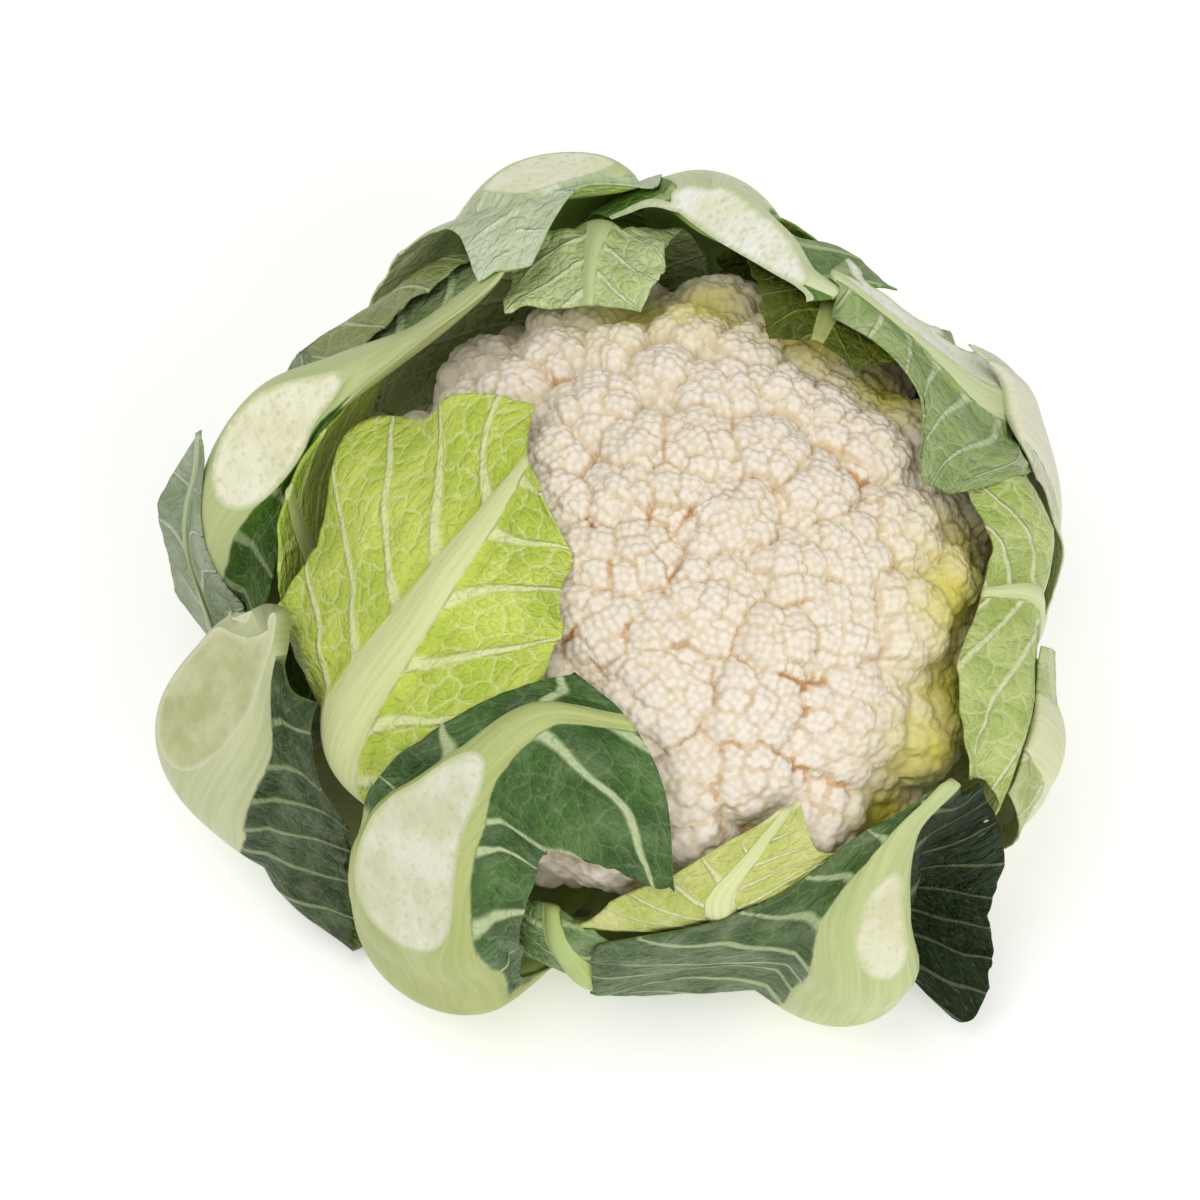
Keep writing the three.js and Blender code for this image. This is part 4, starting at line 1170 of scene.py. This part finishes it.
class Nodes:
    """Short calls for the nodes of one material; a pattern has 2 or 3 dimensions."""

    def __init__(self, name, dimensions="3D"):
        self.dimensions = dimensions
        self.material = bpy.data.materials.new(name)
        self.material.use_nodes = True
        self.tree = self.material.node_tree
        self.shader = self.tree.nodes["Principled BSDF"]

    def put(self, value, socket):
        if isinstance(value, bpy.types.NodeSocket):
            self.tree.links.new(value, socket)
        else:
            socket.default_value = value

    def outputs(self, kind, inputs, **settings):
        """The outputs of a new node, from its settings and what goes into it."""
        node = self.tree.nodes.new(kind)
        for name, value in settings.items():
            setattr(node, name, value)
        for key, value in inputs.items():
            self.put(value, node.inputs[key])
        return node.outputs

    def attribute(self, name, output="Fac"):
        return self.outputs("ShaderNodeAttribute", {}, attribute_name=name)[output]

    def math(self, operation, a, b=0.0, clamp=False):
        inputs = {0: a, 1: b}
        return self.outputs("ShaderNodeMath", inputs, operation=operation, use_clamp=clamp)[0]

    def times(self, a, b):
        return self.math("MULTIPLY", a, b)

    def plus(self, a, b):
        return self.math("ADD", a, b)

    def ramp(self, value, low, high, to_low=0.0, to_high=1.0):
        inputs = dict(enumerate((value, low, high, to_low, to_high)))
        return self.outputs("ShaderNodeMapRange", inputs, interpolation_type="SMOOTHSTEP")[0]

    def mix(self, amount, a, b):
        return self.outputs("ShaderNodeMix", {0: amount, 6: a, 7: b}, data_type="RGBA")[2]

    def scaled(self, vector, x, y, z=1.0):
        return self.outputs("ShaderNodeMapping", {"Vector": vector, "Scale": (x, y, z)})[0]

    def component(self, vector, axis):
        return self.outputs("ShaderNodeSeparateXYZ", {0: vector})[axis]

    def noise(self, vector, scale, detail=2.0, output=0):
        inputs = {"Vector": vector, "Scale": scale, "Detail": detail}
        settings = {"noise_dimensions": self.dimensions}
        return self.outputs("ShaderNodeTexNoise", inputs, **settings)[output]

    def cells(self, vector, scale, feature="DISTANCE_TO_EDGE"):
        inputs = {"Vector": vector, "Scale": scale}
        settings = {"feature": feature, "voronoi_dimensions": self.dimensions}
        return self.outputs("ShaderNodeTexVoronoi", inputs, **settings)["Distance"]

    def where(self):
        return self.outputs("ShaderNodeTexCoord", {})["Object"]

    def shifted(self, vector, push, size):
        """A vector moved about by noise, so that a pattern on it wanders."""
        inputs = {0: self.noise(vector, size, 1.0, "Color"), 1: (push, push, push), 2: vector}
        return self.outputs("ShaderNodeVectorMath", inputs, operation="MULTIPLY_ADD")[0]

    def bump(self, height, distance, strength):
        inputs = {"Strength": strength, "Distance": distance, "Height": height}
        return self.outputs("ShaderNodeBump", inputs)[0]

    def finish(self, **inputs):
        for name, value in inputs.items():
            self.put(value, self.shader.inputs[name.replace("_", " ")])
        return self.material


def curd_material():
    n = Nodes("curd")
    where = n.where()
    fine = n.noise(where, 1500, 1.0)
    patch = n.noise(where, 45, 2.0)
    blotchy = n.noise(where, 125, 2.0)
    colour = n.mix(n.ramp(patch, 0.3, 0.7), *shades(("#f3e9dc", "#efe4d3")))
    bead = n.attribute("bead")
    # Painted shade: a darker tan towards each bead's edge, in the gaps between the beads.
    colour = n.mix(n.ramp(bead, 0.3, 0.62, 0.0, 0.48), colour, linear("#dccfae"))
    # Painted shade: a tan along the creases between lumps.
    between = n.ramp(n.attribute("lump_crease"), 0.1, 0.7, 0.3, 0.0)
    colour = n.mix(between, colour, linear("#dcc79c"))
    # Along the creases between florets, broken up by noise, a tan that is partly the curd's own
    # colour and partly painted shade.
    broken = n.ramp(blotchy, 0.4, 0.62, 0.2, 1.0)
    crease = n.ramp(n.attribute("crease"), 0.05, 0.5, 0.36, 0.0)
    colour = n.mix(n.times(crease, broken), colour, linear("#d8b680"))
    spots = n.times(n.attribute("browned"), n.ramp(blotchy, 0.5, 0.6))
    rust = n.times(spots, n.ramp(n.attribute("crease"), 0.1, 0.85, 1.0, 0.0))
    fleck = n.times(spots, n.ramp(n.attribute("lump_crease"), 0.1, 0.6, 0.4, 0.0))
    rust = n.math("MAXIMUM", rust, fleck)
    colour = n.mix(n.times(rust, 0.8), colour, linear("#c0863a"))
    yellow = n.times(n.attribute("yellowed"), n.ramp(patch, 0.2, 0.8, 0.75, 1))
    colour = n.mix(yellow, colour, linear("#d6cc30"))
    return n.finish(
        Base_Color=colour,
        Normal=n.bump(fine, 0.0003, 0.5),
        Roughness=0.62,
        Specular_IOR_Level=0.3,
        Subsurface_Weight=0.2,
        Subsurface_Radius=(1.0, 0.85, 0.6),
        Subsurface_Scale=0.0012,
    )


def leaf_material(name, look):
    n = Nodes(name, "2D")
    flat = n.attribute("flat", "Vector")

    def over_leaf(along_leaf, across, detail=2.0):
        """Noise over the leaf with so many of its cells to a mm."""
        return n.noise(n.scaled(flat, along_leaf, across), 1.0, detail)

    uneven = over_leaf(0.16, 0.5)
    edge = n.plus(n.attribute("rib"), n.times(n.math("SUBTRACT", uneven, 0.5), 0.5))
    along = n.attribute("along")
    rib = n.ramp(edge, 0.5 - look["rib_soft"], 0.5 + look["rib_soft"])
    if "rib_until" in look:
        until = look["rib_until"]
        rib = n.times(rib, n.ramp(along, until - 0.03, until + 0.01, 1.0, 0.15))
    outward = n.attribute("outward")
    inner = n.attribute("inner")
    half = n.attribute("vein_half")
    blotch = n.ramp(over_leaf(0.05, 0.09), 0.3, 0.7)
    blade = n.mix(blotch, *shades(look["blade"]))
    # The blade right of the rib takes the look's "right" colours; on leaf_left_back and
    # leaf_front_right those are painted shade in a hollow.
    if "right" in look:
        until = look["right_until"]
        short = n.ramp(along, until - 0.04, until + 0.02, 1.0, 0.0)
        on_right = n.times(n.ramp(n.component(flat, "Y"), 2.0, 8.0), short)
        right = n.mix(blotch, *shades(look["right"]))
        blade = n.mix(on_right, blade, right)

    def eased(value, on_the_right):
        """A value that is another one on the right side, if that side has a look of its own."""
        return n.ramp(on_right, 0.0, 1.0, value, on_the_right) if "right" in look else value

    turned = n.times(n.times(inner, 0.55), eased(1.0, 0.1))
    blade = n.mix(turned, blade, linear(look["underside"]))
    powder = over_leaf(0.12, 0.12, 3.0)
    bloom = n.times(n.ramp(powder, 0.35, 0.75, 0.0, look["bloom"]), eased(1.0, 0.15))
    blade = n.mix(bloom, blade, linear(look["wax"]))

    # Laterals, then two meshes of finer veins between them.
    wide_cells = n.cells(n.shifted(flat, 2.2, 0.25), 0.17)
    fine_cells = n.cells(n.shifted(flat, 1.0, 0.6), 0.42)
    large = n.times(n.ramp(wide_cells, 0.02, 0.075, 1.0, 0.0), look["net"])
    small = n.times(n.ramp(fine_cells, 0.02, 0.11, 1.0, 0.0), look["net"] * 0.4)
    net = n.times(n.math("MAXIMUM", large, small), n.ramp(outward, 0.03, 0.2))
    turns = n.math("FRACT", n.math("SUBTRACT", n.attribute("phase"), 0.5))
    near = n.math("ABSOLUTE", n.math("SUBTRACT", turns, 0.5))
    off = n.times(near, look["vein_spacing"] * 0.8)
    soft = n.plus(n.times(half, 1.25), 0.25)
    lateral = n.ramp(off, n.times(half, 0.45), soft, 1.0, 0.0)
    lateral = n.times(lateral, n.ramp(half, 0.02, 0.3))
    pale = n.math("MAXIMUM", lateral, net)
    contrast = eased(look["vein_contrast"], look.get("right_contrast"))
    colour = n.mix(n.times(pale, contrast), blade, linear(look["vein"]))

    streak = n.ramp(over_leaf(0.03, 0.9), 0.3, 0.7)
    bare = n.mix(n.times(streak, 0.5), *shades(look["rib"]))
    # Towards the stalk the rib takes the root colour; leaf_front_left's darker root colour is painted
    # shade on the petiole's lower end.
    bare = n.mix(n.ramp(along, 0.05, look["root_reach"], 0.6, 0.0), bare, linear(look["root"]))
    bare = n.mix(n.times(inner, look["inner_rib"]), bare, linear(look["underside"]))
    colour = n.mix(rib, colour, bare)
    fleck = n.ramp(over_leaf(0.6, 0.6), 0.62, 0.75, 0.0, 0.06)
    colour = n.mix(fleck, colour, linear("#f2f2dc"))

    pillow = n.times(n.ramp(wide_cells, 0.0, 0.4), 0.8)
    tiny = n.times(n.ramp(fine_cells, 0.0, 0.3), 0.4)
    on_blade = n.math("SUBTRACT", 1.0, rib, clamp=True)
    relief = n.times(n.plus(pillow, tiny), on_blade)
    relief = n.plus(relief, n.times(n.times(lateral, on_blade), 1.1))
    grain = over_leaf(0.5, 3.0)
    relief = n.plus(relief, n.times(grain, 0.22))
    shine = n.ramp(blotch, 0.0, 1.0, look["rough"] - 0.05, look["rough"] + 0.07)
    return n.finish(
        Base_Color=colour,
        Normal=n.bump(relief, 0.00075, 0.8),
        Roughness=shine,
        Specular_IOR_Level=eased(0.26, 0.1),
    )


def flesh_material(name, look):
    n = Nodes(name)
    where = n.where()
    deep = n.attribute("flesh")
    patch = n.noise(where, 90, 4.0)
    colour = n.mix(n.ramp(patch, 0.35, 0.68), *shades(look["flesh"]))
    rim = n.ramp(deep, 0.0, 0.5, 0.8, 0.0)
    colour = n.mix(rim, colour, linear(look["flesh_rim"]))
    pit = n.cells(n.shifted(where, 0.003, 300), 420, "F1")
    speck = n.ramp(pit, 0.1, 0.45, 0.35, 0.0)
    colour = n.mix(speck, colour, linear("#b9bb86"))
    rough = n.noise(where, 900, 3.0)
    height = n.plus(n.times(pit, 0.7), n.times(rough, 0.6))
    return n.finish(
        Base_Color=colour,
        Normal=n.bump(height, 0.0006, 0.7),
        Roughness=0.5,
        Specular_IOR_Level=0.4,
    )


def stalk_material():
    n = Nodes("stalk")
    where = n.where()
    along = n.noise(n.scaled(where, 260, 260, 20), 1.0, 4.0)
    colour = n.mix(n.ramp(along, 0.3, 0.7), *shades(("#dfe2b6", "#c3cc8c")))
    pith = n.attribute("pith")
    colour = n.mix(n.ramp(pith, 0.2, 0.8), colour, linear("#ecead2"))
    rings = n.cells(n.shifted(where, 0.002, 200), 380, "F1")
    colour = n.mix(n.ramp(rings, 0.0, 0.6, 0.4, 0.0), colour, linear("#c4b884"))
    return n.finish(
        Base_Color=colour,
        Normal=n.bump(n.plus(along, rings), 0.0006, 0.6),
        Roughness=0.6,
        Specular_IOR_Level=0.3,
    )


# Pieces

def add_object(name, data):
    made = bpy.data.objects.new(name, data)
    bpy.context.scene.collection.objects.link(made)
    return made


def add_piece(name, mesh, node, materials):
    piece = add_object(name, mesh)
    for material in materials:
        mesh.materials.append(material)
    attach(piece, "root")
    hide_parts(node)


def stalk_surface():
    """The stalk: a short stump, rough where it was cut, with a paler pith."""
    count = len(STALK_PROFILE)
    s = np.linspace(0, count - 1, STALK_RINGS)
    turn = np.linspace(0, 2 * np.pi, STALK_SIDES, endpoint=False)
    radius, height = (np.interp(s, range(count), c)[:, None] + 0 * turn for c in STALK_PROFILE.T)
    points = np.stack([radius * np.cos(turn), radius * np.sin(turn), height], axis=-1)
    side = smooth(height / 6) * smooth((39 - height) / 4)
    grooves = lattice_noise(points * np.array([0.35, 0.35, 0.04]), 21)
    scale = 1 + (0.03 * grooves - 0.01) * side
    points[..., :2] *= scale[..., None]
    rough = np.maximum(0, lattice_noise(points / 2.2, 22)) * 0.35
    points[..., 2] += np.where((height < 0.05) & (radius < 20), rough, 0)
    rows, columns = radius.shape
    grid = np.arange(rows * columns).reshape(rows, columns)
    after = np.roll(grid, -1, axis=1)
    quads = np.stack([grid[:-1], after[:-1], after[1:], grid[1:]], axis=-1).reshape(-1, 4)
    pith = np.where(height < 0.5, 1 - smooth((radius - 12) / 7), 0)
    return points.reshape(-1, 3), quads, {"pith": pith.reshape(-1)}


def build_curd():
    """Two pieces that meet in the creases between florets."""
    points, triangles, floret, values = curd_surface()
    centres = np.array([f[0] for f in florets()])
    front = (centres[:, 1] < 0)[floret[triangles[:, 0]]]
    material = curd_material()
    for name, side in (("curd_florets_front", front), ("curd_florets_back", ~front)):
        used, kept = np.unique(triangles[side], return_inverse=True)
        mine = {key: value[used] for key, value in values.items()}
        mesh = mesh_from(name, points[used], kept.reshape(-1, 3), mine)
        add_piece(name, mesh, "curd", [material])
    return tree_of(points - CENTRE, triangles)


def coarse_curd():
    """The curd's solid: the same domes on far fewer facets, for the leaves to lie on."""
    q, triangles = icosphere(SOLID_FREQUENCY)
    q = unit(q + np.array([0.0, 0.0, SOLID_LEAN]))
    outline = outline_point(q)
    points = sunk(q, outline, curd_relief(outline, florets())[0])
    return tree_of(points - CENTRE, triangles)


def build_stalk():
    points, quads, values = stalk_surface()
    mesh = mesh_from("stalk_stump", points, quads, values)
    bm = bmesh.new()
    bm.from_mesh(mesh)
    bmesh.ops.remove_doubles(bm, verts=bm.verts, dist=1e-6)
    bmesh.ops.dissolve_degenerate(bm, edges=bm.edges, dist=1e-7)
    bm.to_mesh(mesh)
    bm.free()
    add_piece("stalk_stump", mesh, "stalk", [stalk_material()])


def build_leaves(curd_tree):
    coarse_trees = [coarse_curd()]
    fine_trees = [curd_tree]
    for order, leaf in enumerate(LEAVES):
        look = {**COMMON_LOOK, **LOOKS[leaf["name"]]}
        points, quads, values = leaf_surface(leaf, look, order, coarse_trees, fine_trees)
        name = leaf["name"].replace("leaf", "blade", 1)
        values["flesh"] = np.zeros(len(points))
        mesh = mesh_from(name, points, quads, values)
        if "knife" in leaf:
            shave(mesh, leaf["knife"])
        materials = [leaf_material(name, look), flesh_material(name + "_cut", look)]
        add_piece(name, mesh, leaf["name"], materials)


def add_light(name, place, size, power):
    data = bpy.data.lights.new(name, "AREA")
    data.shape = "DISK"
    data.size = size
    data.energy = power
    light = add_object(name, data)
    light.location = place
    light.rotation_euler = (Vector(LIT_POINT) - Vector(place)).to_track_quat("-Z", "Y").to_euler()


def build_stage():
    floor_mesh = bpy.data.meshes.new("floor")
    signs = ((-1, -1), (1, -1), (1, 1), (-1, 1))
    corners = [(x * FLOOR_HALF, y * FLOOR_HALF, 0) for x, y in signs]
    floor_mesh.from_pydata(corners, [], [(0, 1, 2, 3)])
    floor = add_object("floor", floor_mesh)
    n = Nodes("floor")
    floor_mesh.materials.append(n.finish(
        Base_Color=linear("#f7f7f5"),
        Roughness=0.9,
        Specular_IOR_Level=0.1,
        Emission_Color=(1, 1, 1, 1),
        Emission_Strength=FLOOR_GLOW,
    ))
    world = bpy.data.worlds.new("studio")
    world.use_nodes = True
    glow = world.node_tree.nodes["Background"]
    glow.inputs["Color"].default_value = (1.0, 1.0, 1.0, 1)
    glow.inputs["Strength"].default_value = WORLD_LIGHT
    bpy.context.scene.world = world
    for name, lamp in LAMPS.items():
        add_light(name, *lamp)
    view = bpy.context.scene.view_settings
    view.view_transform = "Standard"
    view.look = "None"


def build_camera():
    data = bpy.data.cameras.new("camera")
    camera = add_object("camera", data)
    tilt = math.radians(CAMERA_ELEVATION)
    forward = Vector((0, math.cos(tilt), -math.sin(tilt)))
    camera.location = Vector(CAMERA_AIM) - forward * CAMERA_DISTANCE
    camera.rotation_euler = forward.to_track_quat("-Z", "Y").to_euler()
    data.sensor_width = SENSOR_WIDTH
    data.lens = SENSOR_WIDTH * CAMERA_DISTANCE / (PHOTO_PIXELS / PIXELS_PER_MM * MM)
    data.clip_start = 0.05
    data.clip_end = 20
    bpy.context.scene.camera = camera


build_camera()
build_stage()
build_leaves(build_curd())
build_stalk()
